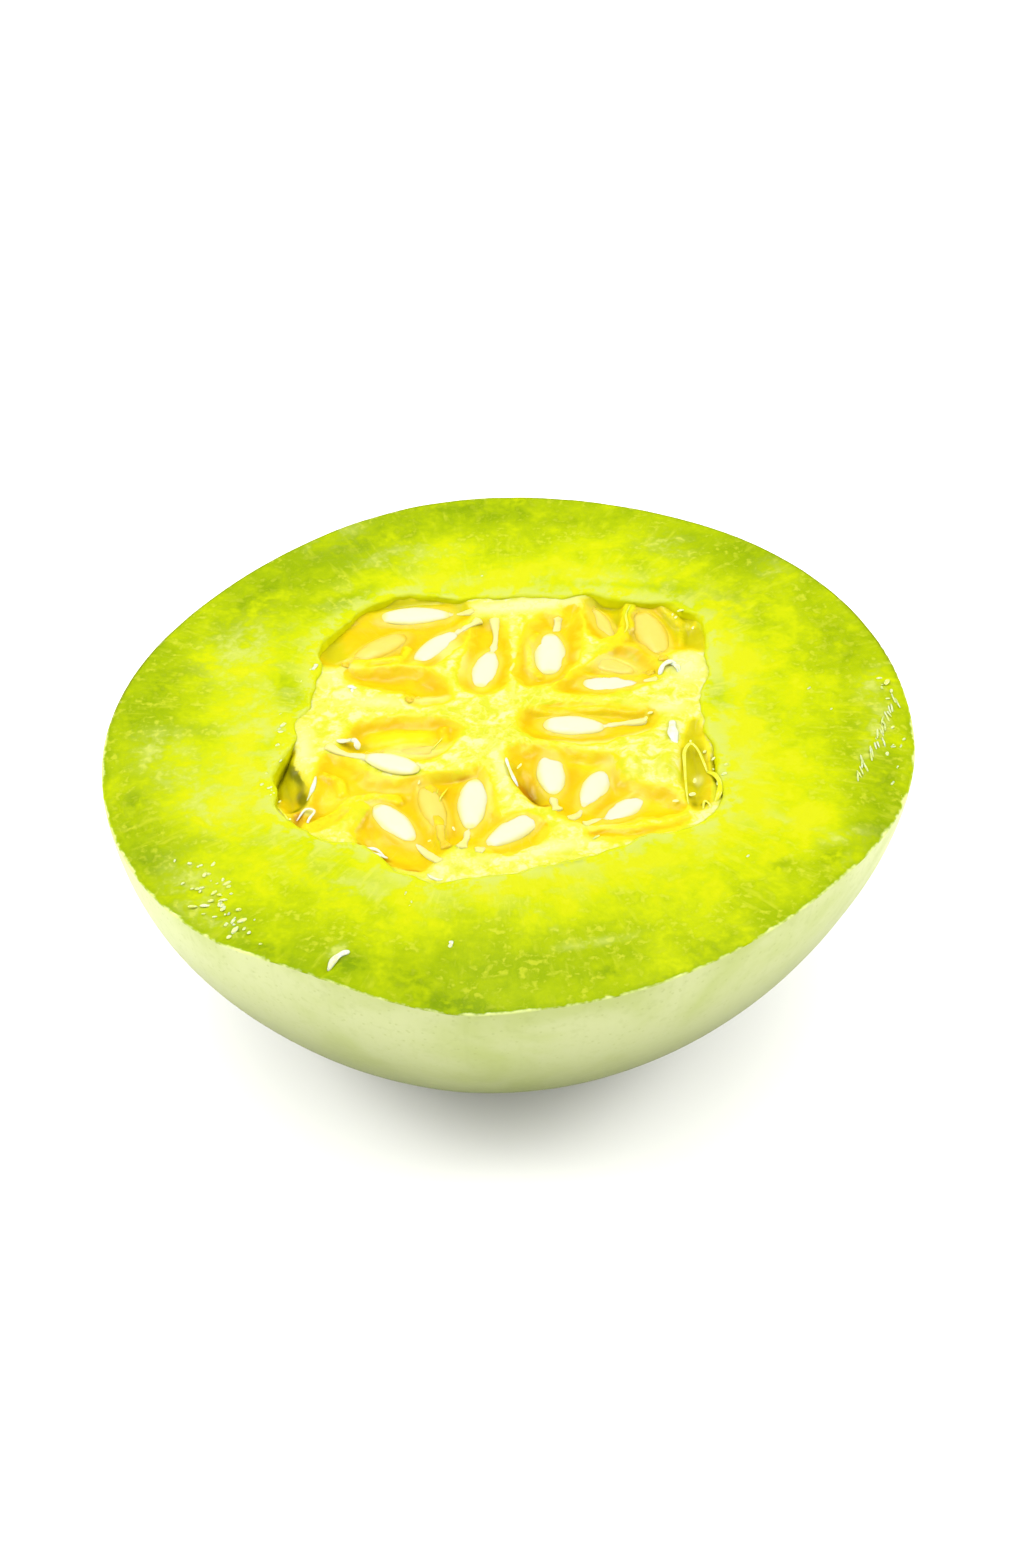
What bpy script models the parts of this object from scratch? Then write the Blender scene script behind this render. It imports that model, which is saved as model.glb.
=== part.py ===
"""Half of a korean melon, cut across the fruit, lying on its rind with the cut face up.

Two pieces. The flesh with its rind grew as one and is one thick bowl. The seed core is the pale
fibrous middle that stands in the bowl, walled into pockets of soft gel, with the seeds fused to it
by their stalks. Lengths are in metres and +Z is up. The origin is the middle of the small flat
spot on the rind that the half rests on. +X is to the right of someone who faces the cut, looking
along +Y.
"""

import math
from typing import NamedTuple

import bmesh
import bpy
from mathutils import Matrix, Vector

# The fruit's driving sizes
CUT_RADIUS = 0.050
RIND_DEPTH = 0.0411
REST_HEIGHT = 0.0408
RIND_SHOULDER = 1.715
RIND_BELLY = 2.46
RIND_LOBES = ((2, 0.00064, 17.0), (3, 0.00047, -72.0), (4, 0.00042, -1.0))
LOBES_LEFT_BELOW = 0.76
BOTTOM_LEAN = 0.0015

# The knife's work: a leaning cut that rises and dips towards the rim, with two shallow facets
CUT_LEAN = 0.047
CUT_WAVES = ((4, 0.00035, -153.0), (5, 0.00043, 164.0))
CUT_RISES = ((-121.0, 0.0010, 10.0), (-97.0, -0.0011, 9.0))
FACETS = ((215.0, 0.0438, 0.10), (-14.0, 0.0456, 0.20))
LIFT_FADE_DEPTH = 0.0356

# The cavity in the flesh, round but for five corners and a dent
MOUTH_RADIUS = 0.0256
CAVITY_DEPTH = 0.0200
CAVITY_ROUNDNESS = 2.4
MOUTH_LIP = 0.0006
MOUTH_CORNERS = (
    (42.0, 0.0062, 20.0),
    (124.0, 0.0056, 21.0),
    (208.0, 0.0052, 22.0),
    (254.0, 0.0032, 15.0),
    (326.0, 0.0042, 19.0),
    (357.0, -0.0012, 13.0),
)

# The seed core in the cavity: its gap to the flesh, and the wider slits where it has pulled away
CORE_GAP = 0.0005
CORE_SLITS = (
    (18.0, 0.0008, 12.0),
    (40.0, 0.0026, 11.0),
    (203.0, 0.0026, 12.0),
    (-22.0, 0.0028, 15.0),
)
CORE_TOP_DROP = 0.0005
POCKET_DEPTH = 0.0013
WALL_SLOPE = 0.0018
CORE_EDGE_DROP = 0.0004

# How finely each piece is turned
FLESH_STEPS = 72
CORE_STEPS = 100
CORE_TOP_RINGS = 20
MERGE = 0.00001

# A seed's width and thickness as shares of its length, and its stalk
SEED_WIDTH = 0.48
SEED_THICKNESS = 0.24
SEED_DEPTH = 0.0010
STALK_RADIUS = 0.00045
STALK_SINK = 0.0006


class Wall(NamedTuple):
    """A pale wall or pad of the core: half its width, and the points that its middle follows."""

    half_width: float
    points: tuple[tuple[float, float], ...]


class Seed(NamedTuple):
    """A seed: its middle, the bearing of its pointed end, its length, and its stalk's root."""

    x: float
    y: float
    heading: float
    length: float
    root: tuple[float, float]


WALLS = {
    "hub": Wall(0.0028, ((-0.0028, -0.0010), (-0.0019, 0.0028), (-0.0010, 0.0050))),
    "up": Wall(0.0007, ((-0.0010, 0.0051), (0.0005, 0.0097), (0.0012, 0.0158), (0.0016, 0.0245))),
    "up_right": Wall(
        0.0007,
        ((0.0005, 0.0045), (0.0064, 0.0075), (0.0094, 0.0115), (0.0152, 0.0179), (0.0166, 0.0222)),
    ),
    "right": Wall(0.0015, ((0.0005, 0.0045), (0.0063, 0.0052), (0.0169, 0.0042), (0.0210, 0.0050))),
    "right_low": Wall(
        0.0008,
        ((-0.0010, -0.0020), (0.0041, -0.0031), (0.0122, -0.0070), (0.0150, -0.0082)),
    ),
    "down_right": Wall(
        0.0019,
        ((-0.0017, -0.0013), (-0.0006, -0.0070), (0.0008, -0.0115), (0.0050, -0.0172), (0.0094, -0.0198)),
    ),
    "down_left": Wall(
        0.0011,
        ((-0.0031, -0.0012), (-0.0081, -0.0071), (-0.0137, -0.0117), (-0.0184, -0.0169)),
    ),
    "left": Wall(0.0016, ((-0.0040, 0.0038), (-0.0123, 0.0035), (-0.0167, 0.0025), (-0.0215, 0.0040))),
    "up_left": Wall(
        0.0008,
        ((-0.0030, 0.0045), (-0.0065, 0.0072), (-0.0103, 0.0119), (-0.0144, 0.0131), (-0.0196, 0.0126)),
    ),
    "left_pad": Wall(0.0024, ((-0.0215, 0.0112), (-0.0214, 0.0060), (-0.0222, 0.0010), (-0.0232, -0.0035))),
    "right_pad": Wall(0.0026, ((0.0190, 0.0092), (0.0225, 0.0098), (0.0216, 0.0050), (0.0195, 0.0025))),
    "top_flap": Wall(0.0013, ((-0.0028, 0.0236), (0.0024, 0.0230), (0.0055, 0.0236), (0.0100, 0.0240))),
    "front_rim": Wall(0.0014, ((-0.0070, -0.0250), (-0.0025, -0.0240), (0.0022, -0.0220), (0.0094, -0.0206))),
}

SEEDS = (
    Seed(-0.0118, 0.0249, 1.0, 0.0088, (-0.0050, 0.0236)),
    Seed(-0.0163, 0.0197, -144.0, 0.0080, (-0.0210, 0.0138)),
    Seed(-0.0086, 0.0193, 44.0, 0.0084, (-0.0018, 0.0226)),
    Seed(-0.0024, 0.0143, 77.0, 0.0078, (-0.0006, 0.0226)),
    Seed(0.0061, 0.0171, 84.0, 0.0090, (0.0068, 0.0230)),
    Seed(0.0125, 0.0206, 111.0, 0.0066, (0.0101, 0.0244)),
    Seed(0.0180, 0.0186, -69.0, 0.0084, (0.0202, 0.0126)),
    Seed(0.0145, 0.0140, -20.0, 0.0078, (0.0198, 0.0108)),
    Seed(0.0139, 0.0096, -2.0, 0.0080, (0.0196, 0.0080)),
    Seed(0.0087, 0.0014, -9.0, 0.0082, (0.0176, 0.0006)),
    Seed(0.0060, -0.0076, -88.0, 0.0078, (0.0062, -0.0168)),
    Seed(0.0109, -0.0103, -123.0, 0.0080, (0.0070, -0.0180)),
    Seed(0.0142, -0.0144, -142.0, 0.0076, (0.0092, -0.0196)),
    Seed(-0.0041, -0.0130, -97.0, 0.0092, (-0.0052, -0.0226)),
    Seed(0.0008, -0.0183, -138.0, 0.0082, (-0.0032, -0.0228)),
    Seed(-0.0138, -0.0163, -51.0, 0.0086, (-0.0086, -0.0234)),
    Seed(-0.0146, -0.0058, 155.0, 0.0082, (-0.0214, -0.0024)),
    Seed(-0.0125, -0.0023, -172.0, 0.0074, (-0.0192, -0.0030)),
    Seed(-0.0133, 0.0012, -170.0, 0.0070, (-0.0194, 0.0008)),
    Seed(0.0205, -0.0064, 78.0, 0.0072, (0.0212, 0.0008)),
    Seed(-0.0094, -0.0146, -71.0, 0.0080, (-0.0072, -0.0228)),
    Seed(-0.0115, 0.0083, 176.0, 0.0070, (-0.0188, 0.0086)),
)

FLESH_COLOUR = (0.62, 0.80, 0.08, 1.0)
CORE_COLOUR = (0.93, 0.74, 0.16, 1.0)


def ease(low, high, value):
    """Goes smoothly from 0 at low to 1 at high."""
    share = min(1.0, max(0.0, (value - low) / (high - low)))
    return share * share * (3.0 - 2.0 * share)


def turn_between(first, second):
    """The angle between two bearings in degrees, from 0 to 180."""
    return abs((first - second + 180.0) % 360.0 - 180.0)


def waves(bearing, terms):
    """A sum of (order, height, bearing of its crest) waves round the fruit."""
    return sum(height * math.cos(math.radians(order * bearing - crest)) for order, height, crest in terms)


def humps(bearing, terms):
    """A sum of (bearing, height, width) humps round the fruit."""
    return sum(height * math.exp(-((turn_between(bearing, at) / width) ** 2)) for at, height, width in terms)


def rind_radius(depth):
    """The rind's radius at a depth below the level of the cut."""
    share = min(1.0, max(0.0, depth) / RIND_DEPTH)
    return CUT_RADIUS * (1.0 - share**RIND_SHOULDER) ** (1.0 / RIND_BELLY)


def bowl_radius(depth, mouth, deepest):
    """The radius of the cavity, or of the core that fits it, at a depth."""
    share = min(1.0, depth / deepest)
    return mouth * (1.0 - share**CAVITY_ROUNDNESS) ** (1.0 / CAVITY_ROUNDNESS)


def cut_rise(x, y):
    """How far the knife's cut lies above the level of its middle, over a point."""
    radius = math.hypot(x, y)
    bearing = math.degrees(math.atan2(y, x))
    towards_rim = max(0.0, (radius - MOUTH_RADIUS) / (CUT_RADIUS - MOUTH_RADIUS)) ** 1.5
    rise = CUT_LEAN * x + (waves(bearing, CUT_WAVES) + humps(bearing, CUT_RISES)) * towards_rim
    for facet_bearing, start, slope in FACETS:
        reach = radius * math.cos(math.radians(bearing - facet_bearing))
        rise -= slope * max(0.0, reach - start)
    return rise


def grown(point):
    """Moves a point of the ideal turned fruit to where it lies in the real, uneven one."""
    radius = math.hypot(point.x, point.y)
    bearing = math.degrees(math.atan2(point.y, point.x))
    depth = -point.z
    cavity_wall = bowl_radius(depth, MOUTH_RADIUS, CAVITY_DEPTH)
    inner = 1.0 - ease(cavity_wall, max(rind_radius(depth), cavity_wall + MERGE), radius)
    below = ease(0.0, RIND_DEPTH, depth)
    cavity_growth = humps(bearing, MOUTH_CORNERS) / MOUTH_RADIUS
    rind_growth = waves(bearing, RIND_LOBES) / CUT_RADIUS * (1.0 - (1.0 - LOBES_LEFT_BELOW) * below)
    growth = 1.0 + inner * cavity_growth + (1.0 - inner) * rind_growth
    x = point.x * growth
    y = point.y * growth
    lift = cut_rise(x, y) * (1.0 - ease(0.0, LIFT_FADE_DEPTH, depth))
    return Vector((x - BOTTOM_LEAN * below, y, REST_HEIGHT + point.z + lift))


def distance_to_path(x, y, points):
    """The distance from a point to a path of straight runs."""
    place = Vector((x, y))
    nearest = math.inf
    for start, end in zip(points, points[1:]):
        run = Vector(end) - Vector(start)
        share = min(1.0, max(0.0, (place - Vector(start)).dot(run) / run.length_squared))
        nearest = min(nearest, (place - Vector(start) - run * share).length)
    return nearest


def wall_share(x, y):
    """1 on a pale wall of the core, 0 in a gel pocket, and between on a wall's flank."""
    most = 0.0
    for wall in WALLS.values():
        beyond = distance_to_path(x, y, wall.points) - wall.half_width
        most = max(most, 1.0 - ease(0.0, WALL_SLOPE, beyond))
    return most


def core_top(x, y):
    """The height of the core's top surface over a point."""
    sunk = CORE_TOP_DROP + POCKET_DEPTH * (1.0 - wall_share(x, y))
    return REST_HEIGHT + cut_rise(x, y) - sunk


def bowl_profile(mouth, deepest, first_depth, count):
    """Profile points (radius, height) of a bowl, from its mouth down to its middle."""
    first = math.asin(first_depth / deepest)
    points = []
    for index in range(count + 1):
        depth = deepest * math.sin(first + (math.pi / 2 - first) * index / count)
        points.append((bowl_radius(depth, mouth, deepest), -depth))
    points[-1] = (0.0, -deepest)
    return points


def turned(name, profile, steps):
    """A closed object turned about Z from profile points (radius, height)."""
    mesh = bpy.data.meshes.new(name + "_profile")
    edges = [(index, index + 1) for index in range(len(profile) - 1)]
    mesh.from_pydata([(radius, 0.0, height) for radius, height in profile], edges, [])
    profile_object = bpy.data.objects.new(name + "_profile", mesh)
    bpy.context.scene.collection.objects.link(profile_object)
    screw = profile_object.modifiers.new("turn", "SCREW")
    screw.steps = steps
    screw.render_steps = steps
    screw.use_merge_vertices = True
    screw.merge_threshold = MERGE
    graph = bpy.context.evaluated_depsgraph_get()
    turned_mesh = bpy.data.meshes.new_from_object(profile_object.evaluated_get(graph))
    bpy.data.objects.remove(profile_object)
    turned_mesh.name = name
    return bpy.data.objects.new(name, turned_mesh)


def triangulate(mesh):
    """Splits a mesh's faces, which are bent out of flat, into flat triangles."""
    shape = bmesh.new()
    shape.from_mesh(mesh)
    bmesh.ops.triangulate(shape, faces=shape.faces[:])
    shape.to_mesh(mesh)
    shape.free()


def cut_flat_below(mesh, height):
    """Slices off what lies below a height and closes the cut with one flat face."""
    shape = bmesh.new()
    shape.from_mesh(mesh)
    everything = shape.verts[:] + shape.edges[:] + shape.faces[:]
    cut = bmesh.ops.bisect_plane(
        shape,
        geom=everything,
        dist=MERGE,
        plane_co=(0.0, 0.0, height),
        plane_no=(0.0, 0.0, -1.0),
        clear_outer=True,
    )
    rim = [item for item in cut["geom_cut"] if isinstance(item, bmesh.types.BMEdge)]
    bmesh.ops.contextual_create(shape, geom=rim)
    bmesh.ops.recalc_face_normals(shape, faces=shape.faces[:])
    shape.to_mesh(mesh)
    shape.free()


def painted(obj, name, colour, roughness):
    """Gives an object one plain Principled material."""
    material = bpy.data.materials.new(name)
    material.use_nodes = True
    shader = material.node_tree.nodes["Principled BSDF"]
    shader.inputs["Base Color"].default_value = colour
    shader.inputs["Roughness"].default_value = roughness
    shader.inputs["Metallic"].default_value = 0.0
    obj.data.materials.clear()
    obj.data.materials.append(material)


def make_flesh(collection):
    """The flesh with its rind: cavity floor, wall, lip, cut face, rim and rind, turned as one."""
    cavity = bowl_profile(MOUTH_RADIUS, CAVITY_DEPTH, MOUTH_LIP, 8)
    lip = MOUTH_RADIUS + MOUTH_LIP
    face = [(lip + (CUT_RADIUS - lip) * share, 0.0) for share in (0.0, 0.2, 0.4, 0.6, 0.8, 0.93)]
    rind = []
    for index in range(15):
        depth = RIND_DEPTH * math.sin(math.pi / 2 * index / 14)
        rind.append((rind_radius(depth), -depth))
    rind[-1] = (0.0, -RIND_DEPTH)
    flesh = turned("flesh_with_rind", cavity[::-1] + face + rind, FLESH_STEPS)
    for vertex in flesh.data.vertices:
        vertex.co = grown(vertex.co)
    cut_flat_below(flesh.data, 0.0)
    flesh.data.shade_smooth()
    flesh.data.set_sharp_from_angle(angle=math.radians(40))
    painted(flesh, "flesh", FLESH_COLOUR, 0.35)
    collection.objects.link(flesh)
    return flesh


def make_core_body():
    """The core without its seeds: a lump that fits the cavity, with walls and pockets on top."""
    mouth = MOUTH_RADIUS - CORE_GAP
    top = [(mouth * (index / CORE_TOP_RINGS) ** 0.9, 0.0) for index in range(CORE_TOP_RINGS + 1)]
    below_pockets = CORE_TOP_DROP + POCKET_DEPTH + 2 * CORE_EDGE_DROP
    side = bowl_profile(mouth, CAVITY_DEPTH - CORE_GAP, below_pockets, 6)
    core = turned("seed_core", top + side, CORE_STEPS)
    for vertex in core.data.vertices:
        on_top = vertex.co.z == 0.0
        outer = ease(0.6 * mouth, mouth, math.hypot(vertex.co.x, vertex.co.y))
        place = grown(vertex.co)
        radius = math.hypot(place.x, place.y)
        slit = humps(math.degrees(math.atan2(place.y, place.x)), CORE_SLITS)
        inset = 1.0 - outer * slit / max(radius, slit)
        place.x *= inset
        place.y *= inset
        if on_top:
            edge_drop = CORE_EDGE_DROP * ease(0.95 * mouth, mouth, math.hypot(vertex.co.x, vertex.co.y))
            place.z = core_top(place.x, place.y) - edge_drop
        vertex.co = place
    triangulate(core.data)
    return core


def seed_height(seed):
    """The height of a seed's middle, sunk in its pocket."""
    return REST_HEIGHT + cut_rise(seed.x, seed.y) - SEED_DEPTH


def make_seed(seed):
    """One seed: a flat drop, blunt at one end and drawn in at the other, half sunk in its pocket."""
    bpy.ops.mesh.primitive_uv_sphere_add(segments=8, ring_count=8, radius=0.5)
    drop = bpy.context.object
    drop.name = "seed"
    for vertex in drop.data.vertices:
        # The long axis runs from the blunt end at -0.5 to the pointed end at +0.5
        along, across, up = vertex.co.z, vertex.co.y, vertex.co.x
        drawn_in = 1.0 - 0.5 * ease(0.0, 0.5, along)
        across *= SEED_WIDTH * drawn_in
        up *= SEED_THICKNESS * drawn_in
        vertex.co = Vector((along, across, up)) * seed.length
    triangulate(drop.data)
    drop.rotation_euler.z = math.radians(seed.heading)
    drop.location = (seed.x, seed.y, seed_height(seed))
    return drop


def make_stalk(seed):
    """A seed's stalk: a thin cord from inside its pointed end into the wall that it grew from."""
    heading = math.radians(seed.heading)
    inside = Vector((math.cos(heading), math.sin(heading))) * seed.length * 0.40
    start = Vector((seed.x + inside.x, seed.y + inside.y, seed_height(seed)))
    root = Vector((*seed.root, core_top(*seed.root) - STALK_SINK))
    middle = (start + root) / 2
    middle.z = max(core_top(middle.x, middle.y) + 0.5 * STALK_RADIUS, middle.z)
    curve = bpy.data.curves.new("stalk", "CURVE")
    curve.dimensions = "3D"
    curve.bevel_depth = STALK_RADIUS
    curve.bevel_resolution = 1
    curve.use_fill_caps = True
    spline = curve.splines.new("POLY")
    spline.points.add(2)
    for point, place in zip(spline.points, (start, middle, root)):
        point.co = (*place, 1.0)
    guide = bpy.data.objects.new("stalk_guide", curve)
    bpy.context.scene.collection.objects.link(guide)
    graph = bpy.context.evaluated_depsgraph_get()
    mesh = bpy.data.meshes.new_from_object(guide.evaluated_get(graph))
    stalk = bpy.data.objects.new("stalk", mesh)
    bpy.data.objects.remove(guide)
    shape = bmesh.new()
    shape.from_mesh(mesh)
    bmesh.ops.remove_doubles(shape, verts=shape.verts[:], dist=MERGE)
    bmesh.ops.triangulate(shape, faces=shape.faces[:])
    bmesh.ops.recalc_face_normals(shape, faces=shape.faces[:])
    shape.to_mesh(mesh)
    shape.free()
    return stalk


def make_core(collection):
    """The seed core with every seed and stalk joined to it in one body."""
    core = make_core_body()
    collection.objects.link(core)
    repeats = bpy.data.collections.new("seeds_and_stalks")
    bpy.context.scene.collection.children.link(repeats)
    for seed in SEEDS:
        for piece in (make_seed(seed), make_stalk(seed)):
            for holder in piece.users_collection:
                holder.objects.unlink(piece)
            repeats.objects.link(piece)
    union = core.modifiers.new("seeds", "BOOLEAN")
    union.operation = "UNION"
    union.operand_type = "COLLECTION"
    union.collection = repeats
    union.solver = "EXACT"
    graph = bpy.context.evaluated_depsgraph_get()
    joined = bpy.data.meshes.new_from_object(core.evaluated_get(graph))
    core.modifiers.clear()
    core.data = joined
    for piece in repeats.objects[:]:
        bpy.data.objects.remove(piece)
    bpy.data.collections.remove(repeats)
    core.data.shade_smooth()
    core.data.set_sharp_from_angle(angle=math.radians(50))
    painted(core, "core", CORE_COLOUR, 0.30)
    return core


def main():
    """Clears the scene and builds the melon half in a collection of its own."""
    for obj in list(bpy.data.objects):
        bpy.data.objects.remove(obj)
    collection = bpy.data.collections.new("korean_melon_half")
    bpy.context.scene.collection.children.link(collection)
    # Everything is laid out round the cut's middle; the half is then moved on to its rest spot
    for piece in (make_flesh(collection), make_core(collection)):
        piece.data.transform(Matrix.Translation((BOTTOM_LEAN, 0.0, 0.0)))


main()
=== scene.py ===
"""The looks of half a korean melon, cut across and lying on its rind with the cut face up.

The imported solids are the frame. The melon's body and its seed core are modelled again here with a
fine surface on the same formulas, and the seeds, stalks, gel and juice lie in the core's pockets.
Every shape is worked out round the middle of the cut, the cut frame, in metres, and then moved so
that the rest spot is at the origin. Tables that are written in millimetres say so.
"""

import logging
import math
from collections.abc import Sequence
from dataclasses import dataclass, field
from enum import Enum
from typing import Any, NamedTuple

import bpy
import numpy as np
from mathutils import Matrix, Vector, noise


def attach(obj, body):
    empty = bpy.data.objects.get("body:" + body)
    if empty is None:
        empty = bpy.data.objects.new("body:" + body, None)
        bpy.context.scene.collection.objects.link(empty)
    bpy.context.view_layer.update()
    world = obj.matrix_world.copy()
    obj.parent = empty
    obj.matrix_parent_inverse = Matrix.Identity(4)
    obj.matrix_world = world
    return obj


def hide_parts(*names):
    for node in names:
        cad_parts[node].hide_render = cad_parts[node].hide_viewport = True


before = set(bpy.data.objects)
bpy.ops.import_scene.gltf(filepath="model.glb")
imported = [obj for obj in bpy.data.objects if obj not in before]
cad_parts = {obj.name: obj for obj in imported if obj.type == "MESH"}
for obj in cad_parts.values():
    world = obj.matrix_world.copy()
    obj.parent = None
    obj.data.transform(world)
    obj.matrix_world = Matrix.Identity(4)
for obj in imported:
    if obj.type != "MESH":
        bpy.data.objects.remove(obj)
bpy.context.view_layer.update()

Array = np.ndarray
Colour = tuple[float, float, float, float]
MM = 0.001
LOG = logging.getLogger("melon")
LIGHT_ON_CUT = 2.63
LIGHT_ON_TISSUE = 2.39
LIGHT_IN_POCKETS = 2.34
LIGHT_ON_RIND = 1.84


def ease(low: Any, high: Any, value: Any) -> Array:
    """Goes smoothly from 0 at low to 1 at high.

    Args:
        low: Where the rise begins.
        high: Where the rise ends.
        value: The values to ease.

    Returns:
        The eased shares, from 0 to 1.
    """
    share = np.clip((np.asarray(value) - low) / (high - low), 0.0, 1.0)
    return share * share * (3.0 - 2.0 * share)


def waves(bearing: Array, terms: Sequence[tuple[float, float, float]]) -> Array:
    """Sums waves round the fruit.

    Args:
        bearing: Bearings in degrees.
        terms: An order, a height and the bearing of a crest times the order, for each wave.

    Returns:
        The summed height at each bearing.
    """
    return sum(height * np.cos(np.radians(order * bearing - crest)) for order, height, crest in terms)


def humps(bearing: Array, terms: Sequence[tuple[float, float, float]]) -> Array:
    """Sums humps round the fruit.

    Args:
        bearing: Bearings in degrees.
        terms: A bearing, a height and a width in degrees, for each hump.

    Returns:
        The summed height at each bearing.
    """
    total = np.zeros_like(bearing)
    for at, height, width in terms:
        turn = np.abs((bearing - at + 180.0) % 360.0 - 180.0)
        total += height * np.exp(-((turn / width) ** 2))
    return total


def grain(points: Array, size: float, seed: float = 0.0, octaves: int = 3) -> Array:
    """Fractal noise over points.

    Args:
        points: Points in metres, with x, y and z on the last axis.
        size: The size of the largest features in metres.
        seed: Shifts the pattern, so that two calls differ.
        octaves: How many finer layers are added.

    Returns:
        About -1 to 1 at each point.
    """
    flat = np.asarray(points, float).reshape(-1, 3) / size + seed * 7.31
    values = [noise.fractal(Vector(place), 1.0, 2.0, octaves) for place in flat]
    return np.array(values).reshape(np.shape(points)[:-1])


def paint(red: int, green: int, blue: int, light: float = LIGHT_ON_CUT) -> Colour:
    """Finds the surface colour that looks as wanted under the studio's bright light.

    Args:
        red: How red it is to look, from 0 to 255.
        green: How green.
        blue: How blue.
        light: How much brighter than plain white paper the light there makes white.

    Returns:
        The linear colour of the surface.
    """
    shares = [channel / 255.0 for channel in (red, green, blue)]
    linear = [share / 12.92 if share <= 0.04045 else ((share + 0.055) / 1.055) ** 2.4 for share in shares]
    return (*(share / light for share in linear), 1.0)


class Patch(NamedTuple):
    """A soft oval on the cut, in millimetres: its middle, half length, half width, turn, strength."""

    x: float
    y: float
    along: float
    across: float
    turn: float = 0.0
    strength: float = 1.0


def cos_sin(degrees: float) -> tuple[float, float]:
    """The cosine and the sine of an angle in degrees."""
    return math.cos(math.radians(degrees)), math.sin(math.radians(degrees))


def rows_of(kind: type, *rows: tuple) -> tuple:
    """Turns plain rows of numbers into rows of a named kind."""
    return tuple(kind(*row) for row in rows)


def patched(x: Array, y: Array, patches: Sequence[Patch]) -> Array:
    """Adds soft ovals up.

    Args:
        x: Places to the right, in metres from the cut's middle.
        y: Places away from the viewer, in metres.
        patches: The ovals.

    Returns:
        The summed strength at each place.
    """
    total = np.zeros_like(x)
    for patch in patches:
        cosine, sine = cos_sin(patch.turn)
        right, away = x / MM - patch.x, y / MM - patch.y
        along = (right * cosine + away * sine) / patch.along
        across = (away * cosine - right * sine) / patch.across
        total += patch.strength * np.exp(-(along**2 + across**2))
    return total


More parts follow.
